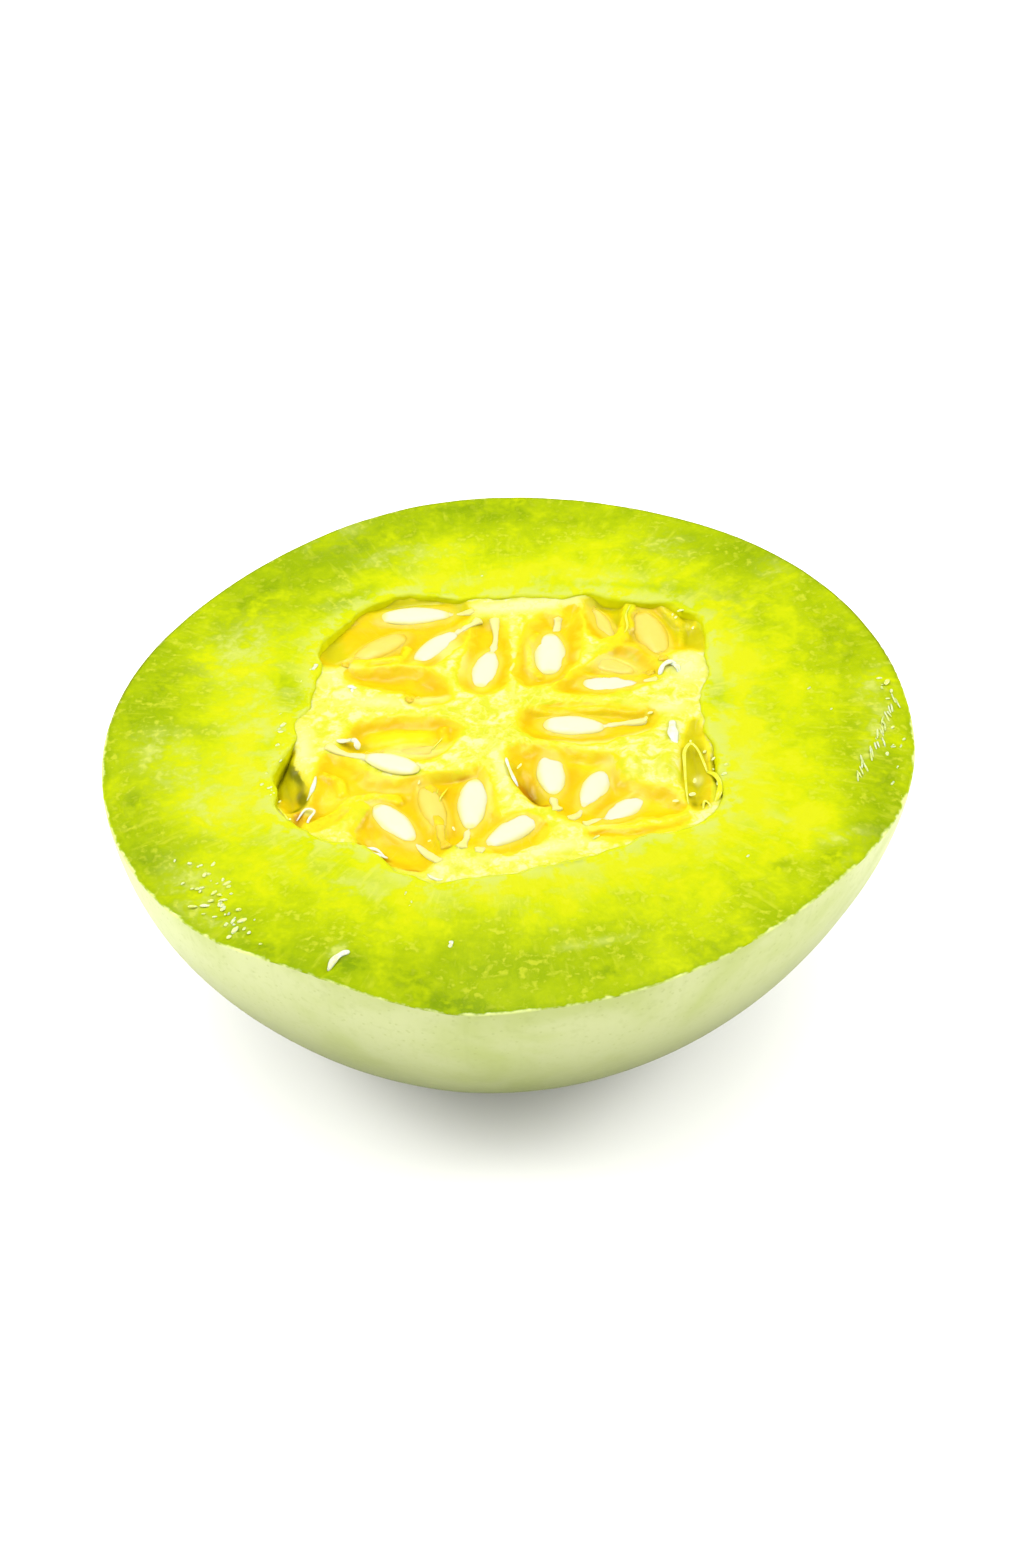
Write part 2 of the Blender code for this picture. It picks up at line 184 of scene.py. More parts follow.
@dataclass(frozen=True)
class FruitShape:
    """The grown fruit and the knife's cut, which the solids in the frame share."""

    cut_radius: float = 0.050
    rind_depth: float = 0.0411
    rest_height: float = 0.0408
    rind_shoulder: float = 1.715
    rind_belly: float = 2.46
    rind_lobes: tuple = ((2, 0.00064, 17.0), (3, 0.00047, -72.0), (4, 0.00042, -1.0))
    lobes_left_below: float = 0.76
    bottom_lean: float = 0.0015
    cut_lean: float = 0.047
    cut_waves: tuple = ((4, 0.00035, -153.0), (5, 0.00043, 164.0))
    cut_rises: tuple = ((-121.0, 0.0010, 10.0), (-97.0, -0.0011, 9.0))
    facets: tuple = ((215.0, 0.0438, 0.10), (-14.0, 0.0456, 0.20))
    lift_fade_depth: float = 0.0356
    mouth_radius: float = 0.0256
    cavity_depth: float = 0.0200
    cavity_roundness: float = 2.4
    mouth_corners: tuple = (
        (42.0, 0.0062, 20.0),
        (124.0, 0.0056, 21.0),
        (208.0, 0.0052, 22.0),
        (254.0, 0.0032, 15.0),
        (326.0, 0.0042, 19.0),
        (357.0, -0.0012, 13.0),
        (69.0, 0.0015, 13.0),
        (143.0, 0.0017, 9.0),
        (167.0, -0.0010, 7.0),
        (10.0, -0.0014, 7.0),
    )
    mouth_waves: tuple = (
        (9, 0.00030, 40.0), (14, 0.00026, 200.0), (23, 0.00018, 90.0), (37, 0.00010, 10.0),
    )

    def rind_radius(self, depth: Array) -> Array:
        """The rind's radius at a depth below the level of the cut."""
        share = np.clip(np.asarray(depth) / self.rind_depth, 0.0, 1.0)
        return self.cut_radius * (1.0 - share**self.rind_shoulder) ** (1.0 / self.rind_belly)

    def bowl_radius(self, depth: Array, mouth: float, deepest: float) -> Array:
        """The radius at a depth of a bowl with a mouth and a deepest point."""
        share = np.clip(np.asarray(depth) / deepest, 0.0, 1.0)
        return mouth * (1.0 - share**self.cavity_roundness) ** (1.0 / self.cavity_roundness)

    def facet_reach(self, x: Array, y: Array, facet: int) -> Array:
        """Measures how far a place lies beyond the line where a facet of the cut begins.

        Args:
            x: Places to the right.
            y: Places away from the viewer.
            facet: The number of the facet.

        Returns:
            The distance in metres, which is negative before the line.
        """
        bearing, start, _ = self.facets[facet]
        turn = math.radians(bearing)
        return x * math.cos(turn) + y * math.sin(turn) - start

    def cut_rise(self, x: Array, y: Array) -> Array:
        """Finds how far the knife's cut lies above the level of its middle.

        Args:
            x: Places to the right.
            y: Places away from the viewer.

        Returns:
            The rise in metres at each place.
        """
        radius = np.hypot(x, y)
        bearing = np.degrees(np.arctan2(y, x))
        out = np.maximum(0.0, (radius - self.mouth_radius) / (self.cut_radius - self.mouth_radius)) ** 1.5
        rise = self.cut_lean * x + (waves(bearing, self.cut_waves) + humps(bearing, self.cut_rises)) * out
        for index, (_, _, slope) in enumerate(self.facets):
            rise = rise - slope * np.maximum(0.0, self.facet_reach(x, y, index))
        return rise

    def grown(self, points: Array) -> Array:
        """Moves points of the ideal turned fruit to where they lie in the real, uneven one.

        Args:
            points: Ideal points, with the cut at z 0.

        Returns:
            The real points, in the cut frame, with the floor at z 0.
        """
        x, y, z = points[..., 0], points[..., 1], points[..., 2]
        radius, bearing = np.hypot(x, y), np.degrees(np.arctan2(y, x))
        depth = -z
        wall = self.bowl_radius(depth, self.mouth_radius, self.cavity_depth)
        inner = 1.0 - ease(wall, np.maximum(self.rind_radius(depth), wall + 0.01 * MM), radius)
        below = ease(0.0, self.rind_depth, depth)
        uneven = humps(bearing, self.mouth_corners) + waves(bearing, self.mouth_waves)
        in_cavity = uneven / self.mouth_radius
        kept = 1.0 - (1.0 - self.lobes_left_below) * below
        in_rind = waves(bearing, self.rind_lobes) / self.cut_radius * kept
        growth = 1.0 + inner * in_cavity + (1.0 - inner) * in_rind
        real_x, real_y = x * growth, y * growth
        lift = self.cut_rise(real_x, real_y) * (1.0 - ease(0.0, self.lift_fade_depth, depth))
        return np.stack([real_x - self.bottom_lean * below, real_y, self.rest_height + z + lift], -1)

    def placed(self, points: Array) -> Array:
        """Moves points from the cut frame on to the part's own origin, the rest spot."""
        return points + np.array([self.bottom_lean, 0.0, 0.0])


FRUIT = FruitShape()


@dataclass
class Surface:
    """A closed mesh in the making: points, faces, a finish number a face, and values a point."""

    points: Array
    faces: list[tuple[int, ...]]
    finish_of_face: Array | None = None
    values: dict[str, Array] = field(default_factory=dict)

    def made(self, name: str, finishes: Sequence[bpy.types.Material], slot: str) -> bpy.types.Object:
        """Makes the object, gives it its finishes and lets it ride on the frame.

        Args:
            name: The piece's name.
            finishes: The materials, in the order of the finish numbers.
            slot: The name of a material slot; not used.

        Returns:
            The new object.
        """
        mesh = bpy.data.meshes.new(name)
        mesh.from_pydata(FRUIT.placed(self.points).tolist(), [], self.faces)
        for finish in finishes:
            mesh.materials.append(finish)
        if self.finish_of_face is not None:
            mesh.polygons.foreach_set("material_index", self.finish_of_face.astype(np.int32))
        for label, numbers in self.values.items():
            attribute = mesh.attributes.new(label, "FLOAT", "POINT")
            attribute.data.foreach_set("value", numbers.astype(np.float32).ravel())
        mesh.shade_smooth()
        mesh.update()
        piece = bpy.data.objects.new(name, mesh)
        bpy.context.scene.collection.objects.link(piece)
        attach(piece, "root")
        LOG.info("%s: %d faces", name, len(self.faces))
        return piece


def ring_surface(rows: Array, first_pole: Array, last_pole: Array) -> Surface:
    """Joins rings of points into a closed surface with a pole at each end.

    Args:
        rows: Points by ring and step round the ring, ordered so that the faces look outward.
        first_pole: The point that closes the first ring.
        last_pole: The point that closes the last ring.

    Returns:
        The closed surface. Its faces come ring by ring, with the poles' fans last.
    """
    rings, steps, _ = rows.shape
    ring, step = np.meshgrid(np.arange(rings - 1), np.arange(steps), indexing="ij")
    here, onward = ring * steps + step, ring * steps + (step + 1) % steps
    quads = np.stack([here, onward, onward + steps, here + steps], -1).reshape(-1, 4)
    faces = [tuple(quad) for quad in quads.tolist()]
    first, last, start = rings * steps, rings * steps + 1, (rings - 1) * steps
    faces += [(first, (k + 1) % steps, k) for k in range(steps)]
    faces += [(start + k, start + (k + 1) % steps, last) for k in range(steps)]
    points = np.concatenate([rows.reshape(-1, 3), [first_pole], [last_pole]])
    return Surface(points, faces)


def with_poles(values: Array, first: float, last: float) -> Array:
    """Lays values by ring and step out flat, and adds those of the two poles."""
    return np.concatenate([values.ravel(), [first, last]])


def joined(parts: Sequence[Surface]) -> Surface:
    """Lays several closed surfaces into one.

    Args:
        parts: The surfaces, which all carry the values that the first one has.

    Returns:
        The joined surface.
    """
    points, faces, offset = [], [], 0
    for part in parts:
        points.append(part.points)
        faces += [tuple(corner + offset for corner in face) for face in part.faces]
        offset += len(part.points)
    values = {key: np.concatenate([part.values[key] for part in parts]) for key in parts[0].values}
    return Surface(np.concatenate(points), faces, None, values)


def smooth_path(points: Array, pieces: int) -> Array:
    """Draws a smooth curve through points.

    Args:
        points: The points that the curve passes through.
        pieces: How many runs lie between two of them.

    Returns:
        Points along the curve, the ends included.
    """
    ends = [2 * points[0] - points[1], *points, 2 * points[-1] - points[-2]]
    curve = []
    for before, start, end, after in zip(ends, ends[1:], ends[2:], ends[3:]):
        for share in np.arange(pieces) / pieces:
            square, cube = share**2, share**3
            curve.append(
                0.5
                * (
                    2 * start
                    + (end - before) * share
                    + (2 * before - 5 * start + 4 * end - after) * square
                    + (3 * start - before - 3 * end + after) * cube
                )
            )
    return np.array([*curve, points[-1]])


def reach_inside(x: Array, y: Array, outline: Sequence[tuple[float, float]]) -> Array:
    """How far places lie inside a smooth closed outline.

    Args:
        x: Places to the right, in millimetres.
        y: Places away from the viewer, in millimetres.
        outline: The points that the outline passes through, in millimetres.

    Returns:
        The distance to the outline in millimetres, which is negative outside it.
    """
    points = np.array(outline)
    wrapped = np.vstack([points[-1:], points, points[:2]])
    loop = smooth_path(wrapped, 3)[3 : 3 * (len(points) + 1)]
    nearest, inside = np.full(x.shape, np.inf), np.zeros(x.shape, bool)
    for start, end in zip(loop, np.roll(loop, -1, 0)):
        nearest = np.minimum(nearest, away_from_line(x, y, start, end))
        crossed = (start[1] > y) != (end[1] > y)
        rise = end[1] - start[1] if end[1] != start[1] else 1e-9
        inside ^= crossed & (x < start[0] + (y - start[1]) * (end[0] - start[0]) / rise)
    return np.where(inside, nearest, -nearest)


def away_from_line(x: Array, y: Array, start: Array, end: Array) -> Array:
    """Measures the distance from places to a straight line.

    Args:
        x: Places to the right.
        y: Places away from the viewer.
        start: One end of the line.
        end: The other end.

    Returns:
        The distance at each place.
    """
    run = end - start
    share = np.clip(((x - start[0]) * run[0] + (y - start[1]) * run[1]) / (run @ run), 0.0, 1.0)
    return np.hypot(x - start[0] - run[0] * share, y - start[1] - run[1] * share)


def cord_surface(path: Array, radii: Array, sides: int = 10, flat: float = 1.0) -> Surface:
    """A round or flattened cord along a path, closed at both ends.

    Args:
        path: Points along its middle.
        radii: Its radius at each of them.
        sides: How many sides its section has.
        flat: Its height as a share of its width.

    Returns:
        The closed surface.
    """
    ahead = np.gradient(path, axis=0)
    ahead /= np.linalg.norm(ahead, axis=1)[:, None]
    aside = np.cross(ahead, [0.0, 0.0, 1.0])
    aside /= np.maximum(np.linalg.norm(aside, axis=1), 1e-9)[:, None]
    above = np.cross(aside, ahead)
    turn = np.linspace(0.0, 2 * math.pi, sides, endpoint=False)
    ring = aside[:, None] * np.cos(turn)[:, None] + above[:, None] * np.sin(turn)[:, None] * flat
    rows = path[:, None] + ring * radii[:, None, None]
    tip = ahead[-1] * radii[-1] * 0.6
    return ring_surface(rows[:, ::-1], path[0] - ahead[0] * radii[0] * 0.6, path[-1] + tip)


class Paintwork:
    """A material's node tree, built by short calls. Sizes are in metres over the object."""

    mid_radius: float = 0.035

    def __init__(self, name: str) -> None:
        """Starts a material with one shader.

        Args:
            name: The material's name.
        """
        self.material = bpy.data.materials.new(name)
        self.material.use_nodes = True
        self.tree = self.material.node_tree
        self.shader = self.tree.nodes["Principled BSDF"]
        self.place = self.result("ShaderNodeTexCoord", "Object", {})

    def plug(self, socket: bpy.types.NodeSocket, value: Any) -> None:
        """Links another node's output to a socket, or sets the socket to a constant.

        Args:
            socket: The socket.
            value: The output or the constant.
        """
        if isinstance(value, bpy.types.NodeSocket):
            self.tree.links.new(value, socket)
        else:
            socket.default_value = value

    def result(self, kind: str, output: str | int, inputs: dict, **settings: Any) -> bpy.types.NodeSocket:
        """Adds a node and plugs its inputs.

        Args:
            kind: The node's type.
            output: The name or number of the output that is wanted.
            inputs: What goes into its inputs, by name or number.
            **settings: The node's settings by name.

        Returns:
            The output.
        """
        made = self.tree.nodes.new(kind)
        for key, value in settings.items():
            setattr(made, key, value)
        for key, value in inputs.items():
            self.plug(made.inputs[key], value)
        return made.outputs[output]

    def value(self, label: str) -> bpy.types.NodeSocket:
        """A value that the mesh carries at each point."""
        return self.result("ShaderNodeAttribute", "Fac", {}, attribute_name=label)

    def noise(self, size: float, detail: float = 3.0, warp: float = 0.0, over: Any = None) -> Any:
        """Soft noise, about 0.2 to 0.8, with features of a size."""
        inputs = {"Vector": over or self.place, "Scale": 1.0 / size, "Detail": detail, "Distortion": warp}
        return self.result("ShaderNodeTexNoise", "Fac", inputs)

    def cells(self, size: float) -> bpy.types.NodeSocket:
        """The distance to the nearest of many scattered points, for pores and specks."""
        return self.result("ShaderNodeTexVoronoi", "Distance", {"Vector": self.place, "Scale": 1.0 / size})

    def vector(self, operation: str, first: Any, second: Any = (0.0, 0.0, 0.0), scale: float = 1.0) -> Any:
        """One step of arithmetic on two vectors, or on one and a scale."""
        inputs = {0: first, 1: second, 3: scale}
        return self.result("ShaderNodeVectorMath", 0, inputs, operation=operation)

    def streaks(self, width: float, length: float) -> bpy.types.NodeSocket:
        """Noise drawn out along lines from the fruit's axis.

        Args:
            width: A streak's width at mid radius.
            length: Its length.

        Returns:
            The noise, about 0.2 to 0.8.
        """
        outward = self.vector("NORMALIZE", self.vector("MULTIPLY", self.place, (1.0, 1.0, 0.0)))
        wide = self.vector("SCALE", outward, scale=self.mid_radius / width)
        near = self.vector("SCALE", self.place, scale=1.0 / length)
        return self.noise(1.0, 3.0, over=self.vector("ADD", wide, near))

    def maths(self, operation: str, first: Any, second: Any = 0.0) -> bpy.types.NodeSocket:
        """One step of arithmetic on two values."""
        return self.result("ShaderNodeMath", 0, {0: first, 1: second}, operation=operation)

    def plus(self, first: Any, second: Any) -> bpy.types.NodeSocket:
        """The sum of two values."""
        return self.maths("ADD", first, second)

    def times(self, first: Any, second: Any) -> bpy.types.NodeSocket:
        """The product of two values."""
        return self.maths("MULTIPLY", first, second)

    def varied(self, value: Any, by: Any, amount: float) -> bpy.types.NodeSocket:
        """A value that noise moves up and down by an amount."""
        return self.plus(value, self.times(self.maths("SUBTRACT", by, 0.5), amount))

    def share(self, low: float, high: float, value: Any, top: float = 1.0) -> bpy.types.NodeSocket:
        """Goes smoothly from 0 where the value is low to top where it is high."""
        inputs = {"Value": value, "From Min": low, "From Max": high, "To Max": top}
        return self.result("ShaderNodeMapRange", "Result", inputs, interpolation_type="SMOOTHSTEP")

    def ramp(self, value: Any, stops: Sequence[tuple[float, Colour]]) -> bpy.types.NodeSocket:
        """Makes a colour that follows a value.

        Args:
            value: The value.
            stops: Values in rising order, each with its colour.

        Returns:
            The colour.
        """
        colour = self.result("ShaderNodeValToRGB", "Color", {"Fac": value})
        elements = colour.node.color_ramp.elements
        while len(elements) < len(stops):
            elements.new(1.0)
        for element, (position, wanted) in zip(elements, stops):
            element.position = position
            element.color = wanted
        return colour

    def blend(self, share: Any, first: Any, second: Any) -> bpy.types.NodeSocket:
        """Goes from the first colour to the second as the share goes from 0 to 1."""
        return self.result("ShaderNodeMix", 2, {0: share, 6: first, 7: second}, data_type="RGBA")

    def layered(self, colour: Any, layers: Sequence[tuple[Any, Any]]) -> bpy.types.NodeSocket:
        """Blends layers over a colour, one by one.

        Args:
            colour: The colour that lies undermost.
            layers: A share and a colour for each layer.

        Returns:
            The blended colour.
        """
        for share, over in layers:
            colour = self.blend(share, colour, over)
        return colour

    def relief(self, height: Any, depth: float, strength: float = 1.0, under: Any = None) -> Any:
        """Bumps the surface by a height, over an earlier bump if there is one.

        Args:
            height: The height, from 0 to 1.
            depth: What a height of 1 measures.
            strength: How much of the bump shows.
            under: The earlier bump's normal.

        Returns:
            The bumped normal.
        """
        inputs = {"Distance": depth, "Strength": strength, "Height": height}
        if under is not None:
            inputs["Normal"] = under
        return self.result("ShaderNodeBump", "Normal", inputs)

    def finish(self, colour: Any, normal: Any = None, **sockets: Any) -> bpy.types.Material:
        """Sets the shader.

        Args:
            colour: The base colour.
            normal: The bumped normal, if any.
            **sockets: Other sockets by name, with underscores for spaces.

        Returns:
            The finished material.
        """
        self.plug(self.shader.inputs["Base Color"], colour)
        if normal is not None:
            self.plug(self.shader.inputs["Normal"], normal)
        for key, value in sockets.items():
            self.plug(self.shader.inputs[key.replace("_", " ")], value)
        return self.material


@dataclass(frozen=True)
class FleshFinish:
    """The green flesh on the cut face and the cavity's wall."""

    deep_shade: Colour = paint(186, 180, 0, 1.69)
    wall_shade: Colour = paint(224, 222, 4, 1.69)
    by_cavity: Colour = paint(240, 245, 22)
    inner: Colour = paint(235, 243, 0)
    lime: Colour = paint(221, 237, 0)
    green: Colour = paint(195, 217, 0)
    rim_green: Colour = paint(170, 198, 0)
    dark_green: Colour = paint(134, 168, 0)
    fibre: Colour = paint(240, 246, 60)
    cloudy: Colour = paint(232, 242, 112)
    skin_edge: Colour = paint(236, 244, 168, LIGHT_ON_RIND)
    # Painted shade: the dark line round the far rim, where the rind turns away from the light
    far_rim_shade: Colour = paint(140, 150, 30)
    roughness: float = 0.34
    shine: float = 0.03
    glow: float = 0.30

    def made(self) -> bpy.types.Material:
        """Builds the material.

        Returns:
            The material.
        """
        work = Paintwork("melon_flesh")
        times, plus, share = work.times, work.plus, work.share
        zone = work.value("zone")
        broad, mid = work.noise(8 * MM, 5.0, 0.2), work.noise(3 * MM, 5.0, 0.3)
        small = work.noise(0.9 * MM, 4.0, 0.2)
        fibres = work.streaks(0.9 * MM, 4 * MM)
        crumbs = work.varied(mid, small, 0.55)
        blotches = plus(plus(broad, times(mid, 0.8)), times(small, 0.40))
        # The green value holds greener tones of the flesh and painted shade beside the cavity's edge
        shift = plus(times(work.maths("SUBTRACT", blotches, 1.10), 1.25), times(work.value("green"), 0.42))
        by_zone = ((0.0, self.by_cavity), (0.10, self.inner), (0.30, self.lime), (0.58, self.green))
        face = work.ramp(plus(times(zone, 0.54), plus(shift, 0.09)), (*by_zone, (0.92, self.rim_green)))
        near_cavity = share(0.40, 0.04, zone, 0.9)
        streaky = times(share(0.50, 0.72, fibres), share(0.40, 0.62, mid))
        veined = times(share(0.52, 0.74, fibres), share(0.44, 0.60, broad, 0.42))
        grains = times(share(0.50, 0.66, small, 0.60), share(0.42, 0.58, mid))
        pale_bits = times(times(share(0.46, 0.62, mid), near_cavity), 0.35)
        fringe = times(share(0.13, 0.0, zone), share(0.42, 0.58, crumbs, 0.8))
        cloud = times(work.value("cloud"), share(0.26, 0.74, crumbs, 1.3))
        dark = times(work.value("dark"), share(0.26, 0.72, crumbs, 1.3))
        uneven = work.varied(zone, crumbs, 0.05)
        layers = (
            (times(streaky, near_cavity), self.fibre),
            (veined, self.fibre),
            (grains, self.fibre),
            (pale_bits, self.cloudy),
            (fringe, self.cloudy),
            (share(0.04, 1.0, cloud, 0.85), self.cloudy),
            (share(0.0, 1.5, dark, 0.75), self.dark_green),
            (share(0.955, 0.990, uneven, 0.25), self.dark_green),
            (share(0.988, 1.004, uneven, 0.8), self.skin_edge),
            # Painted shade along the far rim
            (work.value("far_rim_shade"), self.far_rim_shade),
        )
        down_wall = ((0.78, self.deep_shade), (0.94, self.wall_shade), (1.0, self.inner))
        wall = work.ramp(plus(zone, 1.0), down_wall)
        return work.finish(
            work.blend(share(-0.008, 0.006, zone), wall, work.layered(face, layers)),
            work.relief(fibres, 0.08 * MM, 0.35, work.relief(small, 0.06 * MM, 0.5)),
            Roughness=self.roughness,
            Specular_IOR_Level=self.shine,
            Subsurface_Weight=self.glow,
            Subsurface_Radius=(1.0, 1.0, 0.1),
            Subsurface_Scale=2 * MM,
        )


@dataclass(frozen=True)
class RindFinish:
    """The smooth, pale greenish rind."""

    pale: Colour = paint(226, 233, 168, LIGHT_ON_RIND)
    green_tinge: Colour = paint(200, 213, 118, LIGHT_ON_RIND)
    fleck: Colour = paint(180, 190, 110, LIGHT_ON_RIND)
    # Darker, yellower green towards the bottom: partly the underside's own tone, partly painted shade
    below: Colour = paint(112, 122, 18, LIGHT_ON_RIND)
    # Painted shade: the rind just under the far rim, where it turns away from the light
    line: Colour = paint(120, 132, 30, LIGHT_ON_RIND)
    roughness: float = 0.42
    shine: float = 0.10
    glow: float = 0.15

    def made(self) -> bpy.types.Material:
        """Builds the material.

        Returns:
            The material.
        """
        work = Paintwork("melon_rind")
        broad, small = work.noise(14 * MM, 4.0, 0.4), work.noise(1.1 * MM, 3.0)
        streak = work.streaks(0.9 * MM, 30 * MM)
        layers = (
            (work.share(0.40, 0.72, broad, 0.8), self.green_tinge),
            # Partly painted shade: darker towards the bottom
            (work.share(1.06, 1.74, work.value("zone")), self.below),
            (work.share(0.50, 0.75, small, 0.22), self.fleck),
            (work.share(0.55, 0.80, streak, 0.12), self.fleck),
            (work.share(0.22, 0.10, work.cells(1.1 * MM), 0.35), self.fleck),
            # Painted shade along the far rim
            (work.value("far_rim_shade"), self.line),
        )
        return work.finish(
            work.layered(self.pale, layers),
            work.relief(broad, 0.3 * MM, 0.3, work.relief(work.cells(0.8 * MM), 0.02 * MM, 0.4)),
            Roughness=self.roughness,
            Specular_IOR_Level=self.shine,
            Subsurface_Weight=self.glow,
            Subsurface_Radius=(1.0, 1.0, 0.4),
            Subsurface_Scale=1 * MM,
        )


@dataclass(frozen=True)
class CoreFinish:
    """The seed core: pale fibrous tissue, and gel that is golden by the walls and yellow between."""

    tissue: Colour = paint(250, 247, 96, LIGHT_ON_TISSUE)
    tissue_by_gel: Colour = paint(255, 238, 20, LIGHT_ON_TISSUE)
    tissue_between: Colour = paint(252, 243, 50, LIGHT_ON_TISSUE)
    tissue_green: Colour = paint(235, 238, 24, LIGHT_ON_TISSUE)
    tissue_white: Colour = paint(254, 254, 176, LIGHT_ON_TISSUE)
    flank: Colour = paint(252, 232, 34, LIGHT_IN_POCKETS)
    gold: Colour = paint(252, 214, 0, LIGHT_IN_POCKETS)
    yellow: Colour = paint(253, 224, 2, LIGHT_IN_POCKETS)
    sunny: Colour = paint(255, 248, 24, LIGHT_IN_POCKETS)
    # Orange gel, partly painted shade along pocket edges under the tissue
    orange_gel_and_edge_shade: Colour = paint(250, 202, 0, LIGHT_IN_POCKETS)
    # Brown specks, and painted shade in creases
    brown_specks_and_crease_shade: Colour = paint(206, 128, 0, LIGHT_IN_POCKETS)
    # Painted shade of the flesh wall and gaps down in the cavity, over its green-yellow
    olive_shade: Colour = paint(206, 200, 4, 1.95)
    # Painted shade in the deepest gaps and holes
    dark: Colour = paint(104, 106, 0, 2.08)
    pale: Colour = paint(254, 247, 128, LIGHT_IN_POCKETS)
    roughness: float = 0.26
    shine: float = 0.16
    glow: float = 0.45

    def made(self) -> bpy.types.Material:
        """Builds the material.

        Returns:
            The material.
        """
        work = Paintwork("core_gel_and_walls")
        times, share = work.times, work.share
        fine, mid = work.noise(0.7 * MM, 3.0, 0.5), work.noise(2.2 * MM, 4.0, 0.8)
        fibres = work.streaks(0.40 * MM, 3 * MM)
        crumbs = work.varied(mid, fine, 0.45)
        inward = ((0.0, self.flank), (0.26, self.gold), (0.60, self.yellow), (1.0, self.gold))
        gel = work.ramp(work.varied(work.value("within"), mid, 1.2), inward)
        gel = work.blend(share(0.56, 0.80, fibres, 0.14), gel, self.pale)
        # Spot colours: sunny and pale are the gel's own; the orange, amber, olive and dark spots are partly
        # painted shade at edges, in creases and in gaps
        for label in ("sunny", "orange_gel_and_edge_shade", "brown_specks_and_crease_shade", "olive_shade", "pale", "dark"):
            spot = times(work.value(label), share(-0.2, 0.60, mid, 1.1))
            gel = work.blend(share(0.0, 1.15, spot, 0.85), gel, getattr(self, label))
        gel = work.blend(share(0.0, 1.0, work.value("halo"), 0.22), gel, self.pale)
        outward = ((0.0, self.tissue_by_gel), (0.25, self.tissue_between), (0.55, self.tissue))
        tissue = work.ramp(work.varied(work.value("outside"), mid, 0.8), outward)
        veins = times(share(0.50, 1.0, work.value("web")), share(0.34, 0.62, mid, 0.22))
        whitish = work.maths("MAXIMUM", veins, share(0.52, 0.32, crumbs, 0.9))
        frayed = times(work.value("frayed"), share(0.34, 0.56, crumbs))
        layers = (
            (share(0.44, 0.64, crumbs, 0.8), self.tissue_green),
            (times(whitish, share(0.05, 0.45, work.value("outside"))), self.tissue_white),
            (share(0.0, 1.0, frayed, 0.9), self.tissue_white),
            (share(0.30, 0.70, work.varied(work.value("gel"), fine, 0.9)), gel),
        )
        return work.finish(
            work.layered(tissue, layers),
            work.relief(mid, 0.10 * MM, 0.4, work.relief(fine, 0.05 * MM, 0.4)),
            Roughness=self.roughness,
            Specular_IOR_Level=self.shine,
            Subsurface_Weight=self.glow,
            Subsurface_Radius=(1.0, 0.8, 0.05),
            Subsurface_Scale=2 * MM,
        )


class SeedKind(Enum):
    """How a seed shows: bare and white, or through a coat of gel."""

    WHITE = "white"
    IN_GEL = "in_gel"


@dataclass(frozen=True)
class SeedFinish:
    """A seed's skin, paler in the middle than round its edge."""

    name: str
    middle: Colour
    edge: Colour
    glow: float
    roughness: float = 0.36
    shine: float = 0.25

    def made(self) -> bpy.types.Material:
        """Builds the material.

        Returns:
            The material.
        """
        work = Paintwork(self.name)
        share = work.plus(work.value("edge"), work.times(work.noise(1.1 * MM, 3.0), 0.35))
        return work.finish(
            work.blend(work.share(0.25, 1.10, share), self.middle, self.edge),
            work.relief(work.noise(0.7 * MM, 2.0), 0.03 * MM, 0.4),
            Roughness=self.roughness,
            Specular_IOR_Level=self.shine,
            Coat_Weight=0.08,
            Coat_Roughness=0.10,
            Subsurface_Weight=self.glow,
            Subsurface_Radius=(1.0, 0.9, 0.4),
            Subsurface_Scale=1.6 * MM,
        )


@dataclass(frozen=True)
class WetFinish:
    """Soft wet tissue or gel with a clear, glossy skin."""

    name: str
    colour: Colour
    second: Colour
    roughness: float = 0.12
    shine: float = 0.3
    glow: float = 0.5

    def made(self) -> bpy.types.Material:
        """Builds the material.

        Returns:
            The material.
        """
        work = Paintwork(self.name)
        mottle = work.noise(1.8 * MM, 3.0, 0.6)
        return work.finish(
            work.blend(work.share(0.38, 0.66, mottle), self.colour, self.second),
            work.relief(mottle, 0.15 * MM, 0.4),
            Roughness=self.roughness,
            IOR=1.36,
            Specular_IOR_Level=self.shine,
            Coat_Weight=0.15,
            Coat_Roughness=0.04,
            Subsurface_Weight=self.glow,
            Subsurface_Radius=(1.0, 0.6, 0.1),
            Subsurface_Scale=2 * MM,
        )


